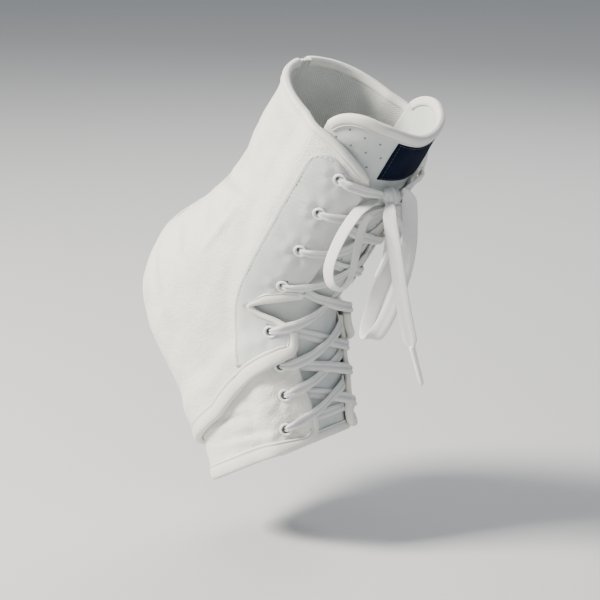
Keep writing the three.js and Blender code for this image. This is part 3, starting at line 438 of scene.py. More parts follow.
# the layers over the form and the edges of the panels, as in the solids
cloth = {
    "wall": 2.0, "tongue": 1.8, "facing": 0.7, "label": 0.6, "tape": 0.9, "gap": 0.3,
    "narrowTape": 5.0, "wideTape": 7.5, "backTape": 8.0,
    "laceGap": 42.0, "notchDepth": 23.0, "rimDrop": 14.0, "rimRun": 30.0,
    "facingWidth": 32.0, "facingCorner": 14.0, "hemCorner": 8.0,
    "overlap": 8.0, "overlapRamp": 8.0, "rampClear": 4.0,
    "tongueRise": 118.0, "tongueHalf": 55.0, "tongueFootHalf": 34.0, "tongueBeyond": 1.5, "tongueFade": 14.0,
    "eyeletOuter": 7.2, "eyeletInset": 12.0, "holeRadius": 2.85, "laceThickness": 1.1, "seamGap": 0.15,
    "notch": ((-0.095, -0.01), (-0.070, 0.26), (-0.040, 0.64), (-0.018, 0.92), (-0.004, 1.00),
              (0.012, 0.95), (0.040, 0.74), (0.068, 0.42), (0.110, 0.14), (0.160, -0.01)),
    "rearEdge": ((0.265, 0.00), (0.300, 0.02), (0.338, 0.06), (0.366, 0.11), (0.423, 0.20),
                 (0.490, 0.29), (0.600, 0.43), (0.700, 0.68), (0.760, 0.90)),
    "eyelets": ((-0.831, 1.17), (-0.604, 1.16), (-0.370, 1.07), (-0.149, 0.92),
                (0.144, 0.93), (0.380, 0.67), (0.589, 0.62), (0.836, 0.74)),
    "shaftEyelets": 5,
}
frontEdge = cloth["laceGap"] / 2
facingBack = frontEdge + cloth["facingWidth"]
tongueOuter = cloth["tongue"] - cloth["wall"]
laceRoom = cloth["tongue"] + 3.4 * cloth["gap"] + cloth["laceThickness"]
shaftBend = -60.0
hem = form["footRun"]
eyeletSpots = [(float(downTo(at)), frontEdge + inset * cloth["eyeletInset"]) for at, inset in cloth["eyelets"]]
shaftSpots, footSpots = eyeletSpots[:cloth["shaftEyelets"]], eyeletSpots[cloth["shaftEyelets"]:]
bothSides = ((1, "lateral"), (-1, "medial"))


def column(rows, x):
    table = np.array(rows)
    return np.interp(x, downTo(table[:, 0]), table[:, 1])


def rearEdge(share):
    table = np.array(cloth["rearEdge"])
    slope = (table[-1, 0] - table[-2, 0]) / (table[-1, 1] - table[-2, 1])
    beyond = np.maximum(np.asarray(share) - table[-1, 1], 0) * slope
    return downTo(np.interp(share, table[:, 1], table[:, 0]) + beyond)


def tongueHalf(u):
    return lerp(cloth["tongueHalf"], cloth["tongueFootHalf"], smooth(u, shaftBend, hem))


def overTongue(u, run):
    edge = tongueHalf(u) + 3 * cloth["gap"]
    return laceRoom * (1 - smooth(np.abs(run), edge, edge + cloth["tongueFade"]))


def overWrap(u, run):
    share = np.clip((np.abs(run) - frontEdge) / (halfGirth(u) - frontEdge), 0, 1)
    start = rearEdge(share) - cloth["overlap"]
    away = np.hypot(u - eyeletSpots[5][0], np.abs(run) - eyeletSpots[5][1])
    risen = smooth(u, start - cloth["rampClear"] - cloth["overlapRamp"], start - cloth["rampClear"])
    bump = 2.0 * (1 - smooth(away, 0.6 * cloth["eyeletOuter"], 2 * cloth["eyeletOuter"]))
    return (cloth["wall"] + 1.6 * cloth["gap"] + bump) * risen


def quarterOuter(u, run):
    return overTongue(u, run) + overWrap(u, run)


def facingOuter(u, run):
    return quarterOuter(u, run) + cloth["gap"] + cloth["facing"]


def rimAt(run):
    short = 1 - np.clip((run - frontEdge) / cloth["rimRun"], 0, 1)
    return -form["shaftRise"] + cloth["rimDrop"] * short**2


def wrapFront(u):
    return frontEdge * lerp(0.98, 0.66, smooth(u, 0.3 * hem, 0.9 * hem))


def hemAt(run):
    short = 1 - np.clip((run - wrapFront(hem)) / cloth["hemCorner"], 0, 1)
    return hem - cloth["hemCorner"] * (1 - np.sqrt(1 - short**2 * 0.98))


def tongueTopAt(run):
    share = np.minimum(1, np.abs(run) / cloth["tongueHalf"])
    corner = np.maximum(0, (share - 0.62) / 0.38)
    dip = 3 * (1 - smooth(np.abs(run), 0, cloth["tongueHalf"] / 2))
    return -cloth["tongueRise"] + dip + 0.34 * cloth["tongueHalf"] * (1 - np.sqrt(1 - np.minimum(corner, 0.97) ** 2))


def facingTopAt(run):
    short = (rimAt(run) + form["shaftRise"]) / cloth["rimDrop"]
    rounded = np.maximum(0, (run - (facingBack - cloth["facingCorner"])) / cloth["facingCorner"])
    arc = cloth["facingCorner"] * (1 - np.sqrt(1 - np.minimum(rounded, 0.99) ** 2))
    return rimAt(run) + cloth["narrowTape"] * (1 + 0.5 * short) + 3 * cloth["gap"] + arc


# a line laid out evenly and softened, with whatever its points carry
def smoothLine(points, spacing, soften):
    lengths = lengthsOf(points[:, :3])
    at = np.linspace(0, lengths[-1], int(round(lengths[-1] / spacing)) + 1)
    fine = np.stack([np.interp(at, lengths, column) for column in points.T], 1)
    reach = int(math.ceil(3 * soften / spacing))
    kernel = np.exp(-0.5 * (np.arange(-reach, reach + 1) * spacing / soften) ** 2)
    kernel /= kernel.sum()
    padded = np.concatenate([2 * fine[0] - fine[1:reach + 1][::-1], fine, 2 * fine[-1] - fine[-reach - 1:-1][::-1]])
    return np.stack([np.convolve(column, kernel, "valid") for column in padded.T], 1)


# each way as it lies square to the line's own travel
def squareTo(travel, ways):
    return unit(ways - travel * (ways * travel).sum(1)[:, None])


# one sense all along a line
def steady(ways):
    for i in range(1, len(ways)):
        if (ways[i] * ways[i - 1]).sum() < 0:
            ways[i] *= -1
    return ways


# a flat cord along a line: a rounded profile that rises along each half, with painted shade in the groove between
def lacePath(points, widths, thickness, ways, name, lobes, wobble=0.0):
    travel = unit(np.gradient(points, axis=0))
    across = squareTo(travel, ways)
    out = np.cross(travel, across)
    turns = circle(24)
    x = squarer(np.cos(turns), 0.7)
    y = squarer(np.sin(turns), 0.75) * (0.86 - lobes * np.cos(2 * math.pi * x))
    lengths = lengthsOf(points)
    sway = 1 + wobble * np.sin(lengths / 3.1 + 1.3 * np.sin(lengths / 7.7))
    rings = (points[:, None] + across[:, None] * (x[None, :, None] * (widths * sway)[:, None, None] / 2)
             + out[:, None] * (y[None, :, None] * thickness[:, None, None] / 2))
    # painted shade in the groove down the middle of the lace
    grooveShade = (np.cos(2 * math.pi * x) * (np.abs(x) < 0.5) - 0.55) * 1.6
    return tubePiece(name, rings, tubeFaces(len(points), len(turns)), laceBraid, x[None, :] * widths[:, None] / 20,
                     lengths, np.clip(grooveShade, 0, 1) * (lobes > 0.2))


toRight = np.array((0.777, 0.629, 0.0))
toEye = np.array((0.608, -0.751, 0.259))

# the four free ends of the lace, from the knot outwards: [x, y, z] in millimetres, with how far
# the flat of the lace turns from facing the eye, in degrees
freeLace = {
    "width": 8.0, "thickness": 1.1,
    "nearLoop": {"route": (
        (87.6, -14.7, 70.8), (84.8, -18.0, 69.8), (83.8, -21.7, 68.8), (83.2, -28.6, 65.6), (79.5, -34.6, 55.9),
        (75.2, -37.6, 43.9), (73.5, -37.9, 35.6), (74.1, -36.1, 29.1), (77.1, -32.7, 26.4), (80.0, -29.6, 29.7),
        (81.7, -27.3, 39.0), (83.3, -25.4, 51.2), (84.7, -23.7, 59.2), (87.1, -20.9, 65.1)),
        "turn": (55, 52, 50, 48, 48, 50, 52, 62, 75, 70, 62, 58, 58, 60)},
    "nearEnd": {"route": (
        (93.9, -13.6, 70.2), (96.2, -17.0, 67.2), (97.1, -17.7, 62.5), (98.8, -17.4, 53.3),
        (101.6, -16.4, 36.3), (103.9, -14.6, 19.0), (106.1, -12.3, 3.5), (107.4, -10.7, -4.3)),
        "turn": (20, 28, 32, 32, 32, 30, 28, 28)},
    "farLoop": {"route": (
        (97.0, -6.6, 75.4), (98.5, -6.3, 75.0), (98.8, -3.7, 70.9), (98.2, -1.9, 64.6), (97.5, -0.4, 56.9),
        (97.0, 0.1, 48.8), (95.8, -0.2, 39.1), (94.5, -1.5, 30.7), (92.4, -3.2, 21.6), (89.4, -5.8, 11.5),
        (86.4, -8.7, 2.9), (83.7, -10.6, -1.7), (80.4, -10.7, -3.7), (77.4, -9.1, -2.7), (76.4, -6.9, 1.3),
        (77.3, -5.2, 8.1), (80.1, -2.6, 19.4), (83.2, -1.2, 28.3), (85.5, -0.9, 38.2), (87.6, -1.6, 50.4),
        (90.6, -3.4, 61.2), (92.7, -5.2, 67.8)),
        "turn": (30, 15, 0, -8, -10, -6, 0, 6, 10, 12, 8, 4, 0, 0, -4, -8, -10, -6, 0, 8, 16, 24), "across": True},
    "farEnd": {"route": (
        (92.0, -10.7, 68.0), (94.1, -12.4, 65.5), (95.1, -10.8, 62.0), (94.1, -6.8, 57.5), (93.8, -6.3, 53.7),
        (95.2, -10.4, 51.5), (95.7, -13.4, 49.4), (93.7, -12.9, 46.1)),
        "turn": (0, 5, 10, 15, 20, 25, 20, 10)},
}
# an aglet's shares of its width, at so many millimetres along it; its sleeve laps over the lace
aglets = {
    "width": 3.2, "gap": 0.3, "sleeve": 1.6,
    "rows": ((0, 0.60), (0.25, 0.86), (0.5, 0.97), (0.8, 1.0), (2.0, 1.0), (6.0, 0.96), (12.0, 0.9),
             (18.0, 0.84), (20.4, 0.82), (21.6, 0.72), (22.3, 0.45), (22.6, 0.05)),
}


def spline(route, extra, spacing):
    values = np.column_stack([np.array(route, float), np.asarray(extra, float)])
    ends = np.concatenate([[2 * values[0] - values[1]], values, [2 * values[-1] - values[-2]]])
    made = []
    for i in range(1, len(ends) - 2):
        p0, p1, p2, p3 = ends[i - 1:i + 3]
        steps = max(2, int(np.linalg.norm(p2[:3] - p1[:3]) / spacing))
        for t in np.arange(steps) / steps:
            made.append(0.5 * ((2 * p1) + (p2 - p0) * t + (2 * p0 - 5 * p1 + 4 * p2 - p3) * t**2
                               + (3 * p1 - p0 - 3 * p2 + p3) * t**3))
    made.append(ends[-2])
    return np.array(made)


# the way across the lace at each point, when its flat faces the eye and then turns by so much
def ribbonWays(line, turnDegrees, across):
    travel = unit(np.gradient(line, axis=0))
    flat = unit(np.cross(travel, toEye[None, :]))
    if across:  # past the knot the lace keeps its width level, so that it folds flat where it turns back
        share = smooth(np.arange(len(line)) / len(line), 0.03, 0.10)[:, None]
        level = unit(toRight - travel * (travel @ toRight)[:, None])
        flat = unit(lerp(flat * np.sign((flat * level).sum(1).mean()), level, share))
    flat *= np.sign((flat * flat[0]).sum(1))[:, None]
    flat = steady(flat)
    turn = np.radians(turnDegrees)[:, None]
    return flat * np.cos(turn) + np.cross(travel, flat) * np.sin(turn)


def makeRibbon(name, spec, width, node, far):
    line = spline(spec["route"], spec["turn"], 0.8)
    points = line[:, :3]
    lengths = lengthsOf(points)
    pinch = 0.62 + 0.38 * smooth(lengths, 0, 9)  # gathered where it leaves the knot
    base, run = (0.62, 9) if far == "object" else (0.42, 5)
    pinch *= base + (1 - base) * smooth(lengths[-1] - lengths, 0, run)
    thick = freeLace["thickness"] / np.sqrt(pinch) * 1.05
    ways = ribbonWays(points, line[:, 3], spec.get("across", False))
    piece = lacePath(points, width * pinch, thick, ways, name, 0.17)
    place(piece, "lace", node)
    return piece, points, float(lengths[-1])


def makeAglet(name, points, node):
    heading = unit(points[-1] - points[-4])
    start = points[-1] + heading * (aglets["gap"] - aglets["sleeve"])
    at, wide = np.array(aglets["rows"]).T
    side = unit(np.cross(heading, toEye))
    turns = circle(20)
    ring = np.cos(turns)[:, None] * side + 0.82 * np.sin(turns)[:, None] * np.cross(heading, side)
    rings = start + heading * at[:, None, None] + ring[None] * (wide * aglets["width"] / 2)[:, None, None]
    piece = meshPiece(name, rings.reshape(-1, 3) * mm, tubeFaces(len(at), len(turns)), plastic)
    place(piece, "aglet", node)
    return piece


def makeFreeLace():
    wide = freeLace["width"]
    for end, part, width, far in (("near", "loop", wide, "object"), ("near", "end", wide, "fitting"),
                                  ("far", "loop", wide, "object"), ("far", "end", 5.2, "fitting")):
        piece, points, length = makeRibbon("lace_%s_%s" % (end, part), freeLace[end + part.capitalize()], width,
                                           "lace_%s_%s" % (part, end), far)
        tips = [makeAglet("aglet_%s_tip" % end, points, "aglet_" + end)] if far == "fitting" else []
        print(end, part, "of the lace:", round(length, 1), "mm")


makeFreeLace()


# the knot: a core with bands of lace wrapped over it, crossing
knot = {
    "across": 6.0, "along": 4.5, "high": 3.6, "at": -82.5, "run": 8.4,
    "bands": ((24, 1.0, 5.2, 0.9), (-30, 0.93, 4.6, -1.5), (80, 0.80, 4.2, 0.0)),  # lean, size, width, shift
}


def knotHeight(spec):
    return tongueOuter + cloth["label"] + 2 * cloth["gap"] + cloth["laceThickness"] + spec["high"]


def makeKnot(spec):
    middle = skin(spec["at"], spec["run"], knotHeight(spec))
    around, out = formFrame(np.float64(spec["at"]), np.float64(spec["run"]))[1:]
    down = unit(np.cross(out, around))
    points, faces, uv, paintedShade = [], [], [], []
    turns = circle(16)
    n = len(turns)
    for lean, size, wide, shift in spec["bands"]:
        turn = math.radians(lean)
        axis = around * math.cos(turn) + down * math.sin(turn)
        angle = circle(60)
        long = spec["along"] * 0.94 * size if abs(lean) < 60 else spec["across"] * 0.86
        line = (middle + axis * shift + np.cross(out, axis) * (np.cos(angle) * long)[:, None]
                + out * (np.sin(angle) * spec["high"] * size)[:, None])
        count, start = len(line), len(points)
        travel = unit(np.roll(line, -1, axis=0) - np.roll(line, 1, axis=0))
        outward = unit(np.cross(np.broadcast_to(axis, line.shape), travel))
        x = squarer(np.cos(turns), 0.7)
        y = np.sin(turns) * (0.9 - 0.25 * np.cos(2 * math.pi * x)) * 0.75
        rings = line[:, None] + axis * (x * wide / 2)[None, :, None] + outward[:, None] * y[None, :, None]
        points += list(rings.reshape(-1, 3) * mm)
        uv += [(x[j] * wide / 20, i * 0.06) for i in range(count) for j in range(n)]
        # painted shade down the middle and along the edges of each band
        paintedShade += np.tile(np.clip(np.cos(2 * math.pi * x) - 0.6, 0, 1), count).tolist()
        for i in range(count):
            here, ahead = start + i * n, start + (i + 1) % count * n
            faces += [(here + j, ahead + j, ahead + (j + 1) % n, here + (j + 1) % n) for j in range(n)]
    core, rings, sides = len(points), 12, 20
    for i in range(1, rings):
        polar = math.pi * i / rings
        for j in range(sides):
            turn = 2 * math.pi * j / sides
            ring = down * math.cos(turn) * spec["along"] + out * math.sin(turn) * spec["high"]
            spot = middle + (around * math.cos(polar) * spec["across"] * 0.9 + ring * math.sin(polar) * 0.84)
            points.append(spot * mm)
            uv.append((j * 0.05, i * 0.08))
            # painted shade on the core under the wrapped bands
            paintedShade.append(0.35)
    for i in range(rings - 2):
        here, ahead = core + i * sides, core + (i + 1) * sides
        faces += [(here + j, here + (j + 1) % sides, ahead + (j + 1) % sides, ahead + j) for j in range(sides)]
    last = core + (rings - 2) * sides
    faces += [tuple(range(core, core + sides))[::-1], tuple(range(last, last + sides))]
    place(meshPiece("bow_knot_wraps", points, faces, laceBraid, uv, paintedShade), "lace", "bow_knot")


makeKnot(knot)
print("knot tied")


# the lacing: one flat lace from eyelet to eyelet, bunched between them and narrow in each hole
lacing = {"width": 5.9, "thickness": 1.8, "pressed": 1.2, "holeWidth": 2.9, "holeThickness": 1.7,
          "beside": 4.5, "eyeletTop": 1.4}


def laceStations(spec):
    low = tongueOuter + 1.8 * cloth["gap"] + cloth["laceThickness"] / 2
    over = low + cloth["laceThickness"] + 1.6 * cloth["gap"]
    wide = spec["width"]
    shaft = cloth["shaftEyelets"]

    def outer(i):
        return facingOuter if i < shaft else overTongue

    def hole(i, side):
        u, run = eyeletSpots[i]
        base = quarterOuter if i < shaft else overTongue
        under, top = float(base(u, run)) - cloth["wall"], float(outer(i)(u, run))
        return [(u, side * run, under - 0.9, spec["holeWidth"], spec["holeThickness"]),
                (u, side * run, top + spec["eyeletTop"] * 0.5, spec["holeWidth"], spec["holeThickness"])]

    def crossing(i, side, upper):
        (fromU, fromRun), (toU, toRun) = eyeletSpots[i], eyeletSpots[i - 1]
        linger, sag = (1.0, cloth["laceThickness"]) if i == shaft else (0.35, 0.0)

        def at(distance):
            share = (distance - fromRun) / (-toRun - fromRun)
            return lerp(fromU, toU, lerp(share, share * share * (3 - 2 * share), linger)) + sag * (1 - share)

        leave = frontEdge if i < shaft else float(wrapFront(fromU))
        enter = frontEdge if i - 1 < shaft else float(wrapFront(toU))

        def high(distance):
            return float(outer(i)(at(distance), distance)) + cloth["gap"] + 0.4 * spec["thickness"]

        middle, along = over if upper else low, high(leave + 1)
        first = fromRun - spec["beside"]
        rows = [(first, high(first) + spec["eyeletTop"] * 0.5, 0.88), (leave + 3.5, high(leave + 3.5) + 0.1, 1.0),
                (leave, along + 0.1, 1.0)]
        rows += [(share * leave, lerp(middle, along, rise), 1.0)
                 for share, rise in ((0.82, 0.84), (0.62, 0.62), (0.3, 0.25))]
        rows += [(0, middle, 1.0), (-0.3 * enter, middle, 1.0), (-0.62 * enter, middle, 1.0),
                 (-0.9 * enter, low, 1.0), (-1.15 * enter, low, 1.0), (-toRun + spec["beside"], low, 0.8)]
        open = [abs(d) < leave + 4 and d > -0.8 * enter for d, _, _ in rows]
        return [(at(d), side * d, h, w * wide, spec["thickness"] if free else spec["pressed"])
                for (d, h, w), free in zip(rows, open)]

    def topStrand(side):
        u, run = eyeletSpots[0]
        end = knot["run"] + side * (knot["across"] - 1.0)
        high = float(facingOuter(u, run)) + cloth["gap"] + cloth["laceThickness"] / 2

        def station(r, h, w):
            share = (r - side * run) / (knot["run"] - side * run)
            return (lerp(u, knot["at"], share), r, h, w * wide, spec["thickness"])

        inner = side * (frontEdge - 3)
        rows = [station(side * (run - spec["beside"]), high + spec["eyeletTop"] * 0.8, 0.9),
                station(side * (frontEdge + 1), high + 0.6, 1.0)]
        if side < 0:
            rows += [station(inner, high - 1.4, 1.0), station(lerp(inner, end, 0.5), over + 1.3, 1.0)]
        return rows + [station(end, knotHeight(knot), 0.62)]

    last = len(eyeletSpots) - 1

    def half(side):
        now, stations = side, hole(last, side)
        for i in range(last, 0, -1):
            stations += crossing(i, now, now * (1 if i % 2 else -1) > 0)
            now = -now
            stations += hole(i - 1, now)
        return stations + topStrand(now)

    u, run = eyeletSpots[last]
    inside = [(u, r, low, 0.9 * wide, spec["pressed"])
              for r in np.linspace(-run + spec["beside"], run - spec["beside"], 9)]
    return half(-1)[::-1] + inside + half(1)


def makeLacing(spec):
    stations = np.array(laceStations(spec))
    centres = skin(stations[:, 0], stations[:, 1], stations[:, 2])
    down = unit(formFrame(stations[:, 0], stations[:, 1])[0])
    line = smoothLine(np.column_stack([centres, stations[:, 3:5], down]), 0.7, 1.15)
    points = line[:, :3]
    travel = unit(np.gradient(points, axis=0))
    across = steady(squareTo(travel, unit(line[:, 5:8])))
    lengths = lengthsOf(points)
    roll = (np.radians(9) * np.sin(lengths / 11.0) + np.radians(5) * np.sin(lengths / 4.3 + 1))[:, None]
    across = across * np.cos(roll) + np.cross(travel, across) * np.sin(roll)
    place(lacePath(points, line[:, 3], line[:, 4], across, "lacing_strands", 0.36, 0.035), "lace", "lacing")


makeLacing(lacing)
print("lacing run through")


# sewing: Geometry Nodes lay one short stitch at each pitch of a row of lines that carry the
# cloth's outward direction as the attribute "up"
def newTree(name, sizes):
    tree = bpy.data.node_groups.new(name, "GeometryNodeTree")
    tree.interface.new_socket("Geometry", in_out="INPUT", socket_type="NodeSocketGeometry")
    tree.interface.new_socket("Geometry", in_out="OUTPUT", socket_type="NodeSocketGeometry")
    sockets = {}
    for key, value in sizes.items():
        kind = "NodeSocketMaterial" if value is None else "NodeSocketFloat"
        made = tree.interface.new_socket(key, in_out="INPUT", socket_type=kind)
        if value is not None:
            made.default_value = value
        sockets[key] = made.identifier
    return tree, tree.nodes.new("NodeGroupInput"), tree.nodes.new("NodeGroupOutput"), sockets


def layInstances(tree, inputs, output, spots, instance, rotation):
    laid = put(tree, "GeometryNodeInstanceOnPoints", Points=spots, Instance=instance, Rotation=rotation)
    real = put(tree, "GeometryNodeRealizeInstances", Geometry=laid)
    soft = put(tree, "GeometryNodeSetShadeSmooth", Geometry=real)
    dressed = put(tree, "GeometryNodeSetMaterial", Geometry=soft, Material=inputs.outputs["Material"])
    link(tree, dressed, output.inputs[0])


def aligned(tree, props, **sockets):
    up = put(tree, "GeometryNodeInputNamedAttribute", {"data_type": "FLOAT_VECTOR"}, Name="up")
    return put(tree, "FunctionNodeAlignRotationToVector", {"axis": "Z", **props}, Vector=up, **sockets)


def stitchTree():
    tree, inputs, output, sockets = newTree("stitch_rows", {
        "Pitch": 0.0028, "Length": 0.0021, "Width": 0.00055, "Height": 0.0004, "Material": None})
    given = inputs.outputs
    lines = put(tree, "GeometryNodeMeshToCurve", Mesh=given["Geometry"])
    spaced = put(tree, "GeometryNodeResampleCurve", {"mode": "LENGTH"}, Curve=lines, Length=given["Pitch"])
    ball = put(tree, "GeometryNodeMeshUVSphere", Segments=7, Rings=5, Radius=0.5)
    size = put(tree, "CombineXYZ", i0=given["Length"], i1=given["Width"], i2=given["Height"])
    stitch = put(tree, "GeometryNodeTransform", Geometry=ball, Scale=size)
    tangent = put(tree, "GeometryNodeInputTangent")
    ahead = put(tree, "FunctionNodeAlignRotationToVector", {"axis": "X"}, Vector=tangent)
    layInstances(tree, inputs, output, spaced, stitch, aligned(tree, {"pivot_axis": "X"}, Rotation=ahead))
    return tree, sockets


# eyelets: a rolled rim over a barrel, one on each spot
def eyeletTree():
    tree, inputs, output, sockets = newTree("eyelet_row", {
        "Outer": 0.0072, "Hole": 0.0044, "Rise": 0.0014, "Depth": 0.004, "Material": None})
    outer, hole, rise, depth = (inputs.outputs[key] for key in ("Outer", "Hole", "Rise", "Depth"))

    def ringLine(resolution, radius):
        return put(tree, "GeometryNodeCurvePrimitiveCircle", {"mode": "RADIUS"}, Resolution=resolution, Radius=radius)

    def swept(line, section, moved, **more):
        made = put(tree, "GeometryNodeCurveToMesh", Curve=line, Profile_Curve=section)
        return put(tree, "GeometryNodeTransform", Geometry=made, Translation=put(tree, "CombineXYZ", i2=moved), **more)

    rim = times(tree, plus(tree, outer, hole), 0.25)
    roll = times(tree, sums(tree, "SUBTRACT", outer, hole), 0.25)
    flat = put(tree, "CombineXYZ", i0=1.0, i1=1.0, i2=0.85)
    lip = swept(ringLine(36, rim), ringLine(12, roll), times(tree, rise, 0.42), Scale=flat)
    wallLine = ringLine(36, plus(tree, times(tree, hole, 0.5), 0.0002))
    section = put(tree, "GeometryNodeCurvePrimitiveQuadrilateral", {"mode": "RECTANGLE"}, Width=0.0004, Height=depth)
    barrel = swept(wallLine, section, times(tree, depth, -0.42))
    both = tree.nodes.new("GeometryNodeJoinGeometry")
    link(tree, lip, both.inputs[0])
    link(tree, barrel, both.inputs[0])
    layInstances(tree, inputs, output, inputs.outputs["Geometry"], both, aligned(tree, {}))
    return tree, sockets


# perforations: a shallow dark lens in each punched hole, painted shade in place of the hole's depth
def perforationTree():
    tree, inputs, output, sockets = newTree("perforations", {"Radius": 0.0008, "Depth": 0.00014, "Material": None})
    given = inputs.outputs
    ball = put(tree, "GeometryNodeMeshUVSphere", Segments=14, Rings=6, Radius=1.0)
    size = put(tree, "CombineXYZ", i0=given["Radius"], i1=given["Radius"], i2=given["Depth"])
    lens = put(tree, "GeometryNodeTransform", Geometry=ball, Scale=size)
    layInstances(tree, inputs, output, given["Geometry"], lens, aligned(tree, {}))
    return tree, sockets


trees = {"stitches": stitchTree(), "eyelets": eyeletTree(), "perforations": perforationTree()}


# runs a tree on lines or spots and keeps the result as a plain mesh
def grow(name, kind, lines, look, **sizes):
    tree, sockets = trees[kind]
    points, ups, edges = [], [], []
    for linePoints, lineUps in lines:
        start = len(points)
        points += (np.asarray(linePoints) * mm).tolist()
        ups += np.asarray(lineUps).tolist()
        if kind == "stitches":
            edges += [(start + i, start + i + 1) for i in range(len(linePoints) - 1)]
    data = bpy.data.meshes.new(name + "_guide")
    data.from_pydata(points, edges, [])
    field = data.attributes.new("up", "FLOAT_VECTOR", "POINT")
    field.data.foreach_set("vector", np.array(ups, np.float32).ravel())
    guide = addObject(name + "_guide", data)
    modifier = guide.modifiers.new("grow", "NODES")
    modifier.node_group = tree
    for key, value in sizes.items():
        modifier[sockets[key.capitalize()]] = value
    modifier[sockets["Material"]] = look
    graph = bpy.context.evaluated_depsgraph_get()
    made = bpy.data.meshes.new_from_object(guide.evaluated_get(graph))
    made.name = name
    bpy.data.objects.remove(guide)
    if not len(made.materials):
        made.materials.append(look)
    print(name, len(made.polygons), "faces")
    return addObject(name, made)


def mirrorLine(line, side):
    return [np.asarray(part, float) * np.array((1, side, 1)) for part in line]


# a row of stitches over the surface: its points and their outward directions
def seam(u, run, height, side=1):
    u, run = np.broadcast_arrays(np.asarray(u, float), np.asarray(run, float))
    return mirrorLine((skin(u, run, height), formFrame(u, run)[2]), side)


sewn = []  # every seam of cream thread, laid at the end


# relief of the padded cloth: soft swelling, puckers round the eyelets, stretched folds
folds = {
    "heelString": (((-40, 78), (-34.6, 113), (-30, 140)), -2.3, 2.4),
    "heelLift": (((-38.2, 79.2), (-29.2, 80.8), (-20.4, 82.6), (-12, 86)), 2.0, 3.0),
    "heelStreak": (((-25, 104.8), (-22.3, 94.9), (-18.6, 88.0)), -1.8, 2.0),
    "heelStreakLow": (((-16.5, 118), (-11.3, 104), (-4.8, 93)), -1.9, 2.3),
    "heelStreakEnd": (((-8, 132), (-1, 119), (6, 108)), -1.5, 2.4),
    "shaftSoft": (((-78, 100), (-62, 92), (-50, 88)), 0.5, 5.0),
    "calf": (((-66, 118), (-52, 108), (-44, 96)), -1.2, 2.8),
}
wrapFolds = {
    "drag": (((47, 48), (45, 62), (44.5, 78), (46, 92)), -1.2, 1.9),
    "dragLow": (((56, 40), (55, 56), (54, 74)), -0.8, 2.2),
    "pull": (((60.5, 34), (60, 46), (58, 60)), 0.8, 2.4),
}


def foldRelief(u, run, table):
    total = np.zeros(np.broadcast(u, run).shape)
    for path, depth, width in table.values():
        path = np.array(path, float)
        best, along = np.full(total.shape, 1e9), np.zeros(total.shape)
        lengths = lengthsOf(path)
        for k in range(len(path) - 1):
            a, b = path[k], path[k + 1]
            d = b - a
            t = np.clip(((u - a[0]) * d[0] + (run - a[1]) * d[1]) / (d @ d), 0, 1)
            away = np.hypot(u - a[0] - t * d[0], run - a[1] - t * d[1])
            nearer = away < best
            best = np.where(nearer, away, best)
            along = np.where(nearer, (lengths[k] + t * (lengths[k + 1] - lengths[k])) / lengths[-1], along)
        taper = np.sin(math.pi * np.clip(along, 0.04, 0.96)) ** 0.7
        total += depth * taper * (bell(best, width) - 0.45 * bell(best, 2.2 * width))
    return total


def puckers(u, run, spots, side, depth=0.55):
    total = np.zeros(np.broadcast(u, run).shape)
    for k, (su, sr) in enumerate(spots):
        du, dr = u - su, run - sr
        away = np.hypot(du, dr)
        turn = np.arctan2(du, dr)
        total -= depth * bell(away, 5.2)
        total += 0.26 * np.cos(6 * turn + k * 1.7 + side) * bell(away - 7.0, 3.2)
        total += 0.32 * bell(away - 6.5, 2.4) * (np.cos(turn) > -0.2)
    return total


def quarterRelief(u, run, side):
    points = skin(u, run, 0) * np.array((1, side, 1))
    swell = 0.34 * ripples(points, 34, 11) + 0.12 * ripples(points, 13, 12)
    inner = 1.0 if side > 0 else 0.75
    back = halfGirth(u) - run
    total = swell + inner * foldRelief(u, run, folds) * smooth(back, 2, 14)
    total -= 0.5 * bell(back, 2.2)  # pulled in along the heel seam
    total *= smooth(run, 53, 64)  # flat under the facing
    return total * smooth(u - rimAt(run), 2, 16) + puckers(u, run, shaftSpots, side) * (run < 60)


# a closed wall over a grid of places, with the eyelets' holes left open; soften is the painted shade at each place, a
# third of it on the inner face
def panel(name, u, run, outer, thickness, look, side=1, spots=(), *, soften, flip=None, inside=None):
    points = np.concatenate([skin(u, run, outer).reshape(-1, 3), skin(u, run, outer - thickness).reshape(-1, 3)])
    if flip is not None:  # columns past the sole belong to the other side
        points[:, 1] *= np.tile(flip.reshape(-1), 2)
    points[:, 1] *= side
    shift = u.size
    index = np.arange(shift).reshape(u.shape)
    middleU, middleRun = ((grid[:-1, :-1] + grid[1:, 1:]) / 2 for grid in (u, run))
    keep = np.ones(middleU.shape, bool)
    for su, sr in spots:
        keep &= np.hypot(middleU - su, middleRun - sr) > cloth["holeRadius"]
    cells = np.stack([index[:-1, :-1], index[:-1, 1:], index[1:, 1:], index[1:, :-1]], -1)[keep]
    edges = np.concatenate([cells[:, [k, (k + 1) % 4]] for k in range(4)])
    known = set(map(tuple, edges.tolist()))
    walls = [(q, p, p + shift, q + shift) for p, q in known if (q, p) not in known]
    faces = cells.tolist() + (cells[:, ::-1] + shift).tolist() + walls
    if side < 0:
        faces = [tuple(face)[::-1] for face in faces]
    uv = np.stack([run, u], -1).reshape(-1, 2) / 10
    paintedShade = soften.reshape(-1)
    piece = meshPiece(name, points * mm, faces, look, np.concatenate([uv, uv]), np.concatenate([paintedShade, paintedShade * 0.3]))
    if inside is not None:
        piece.data.materials.append(inside)
        which = np.zeros(len(faces), np.int32)
        which[len(cells):2 * len(cells)] = 1
        piece.data.polygons.foreach_set("material_index", which)
    if spots:  # the points inside the holes go
        mesh = bmesh.new()
        mesh.from_mesh(piece.data)
        bmesh.ops.delete(mesh, geom=[v for v in mesh.verts if not v.link_faces], context="VERTS")
        mesh.to_mesh(piece.data)
        mesh.free()
    return piece


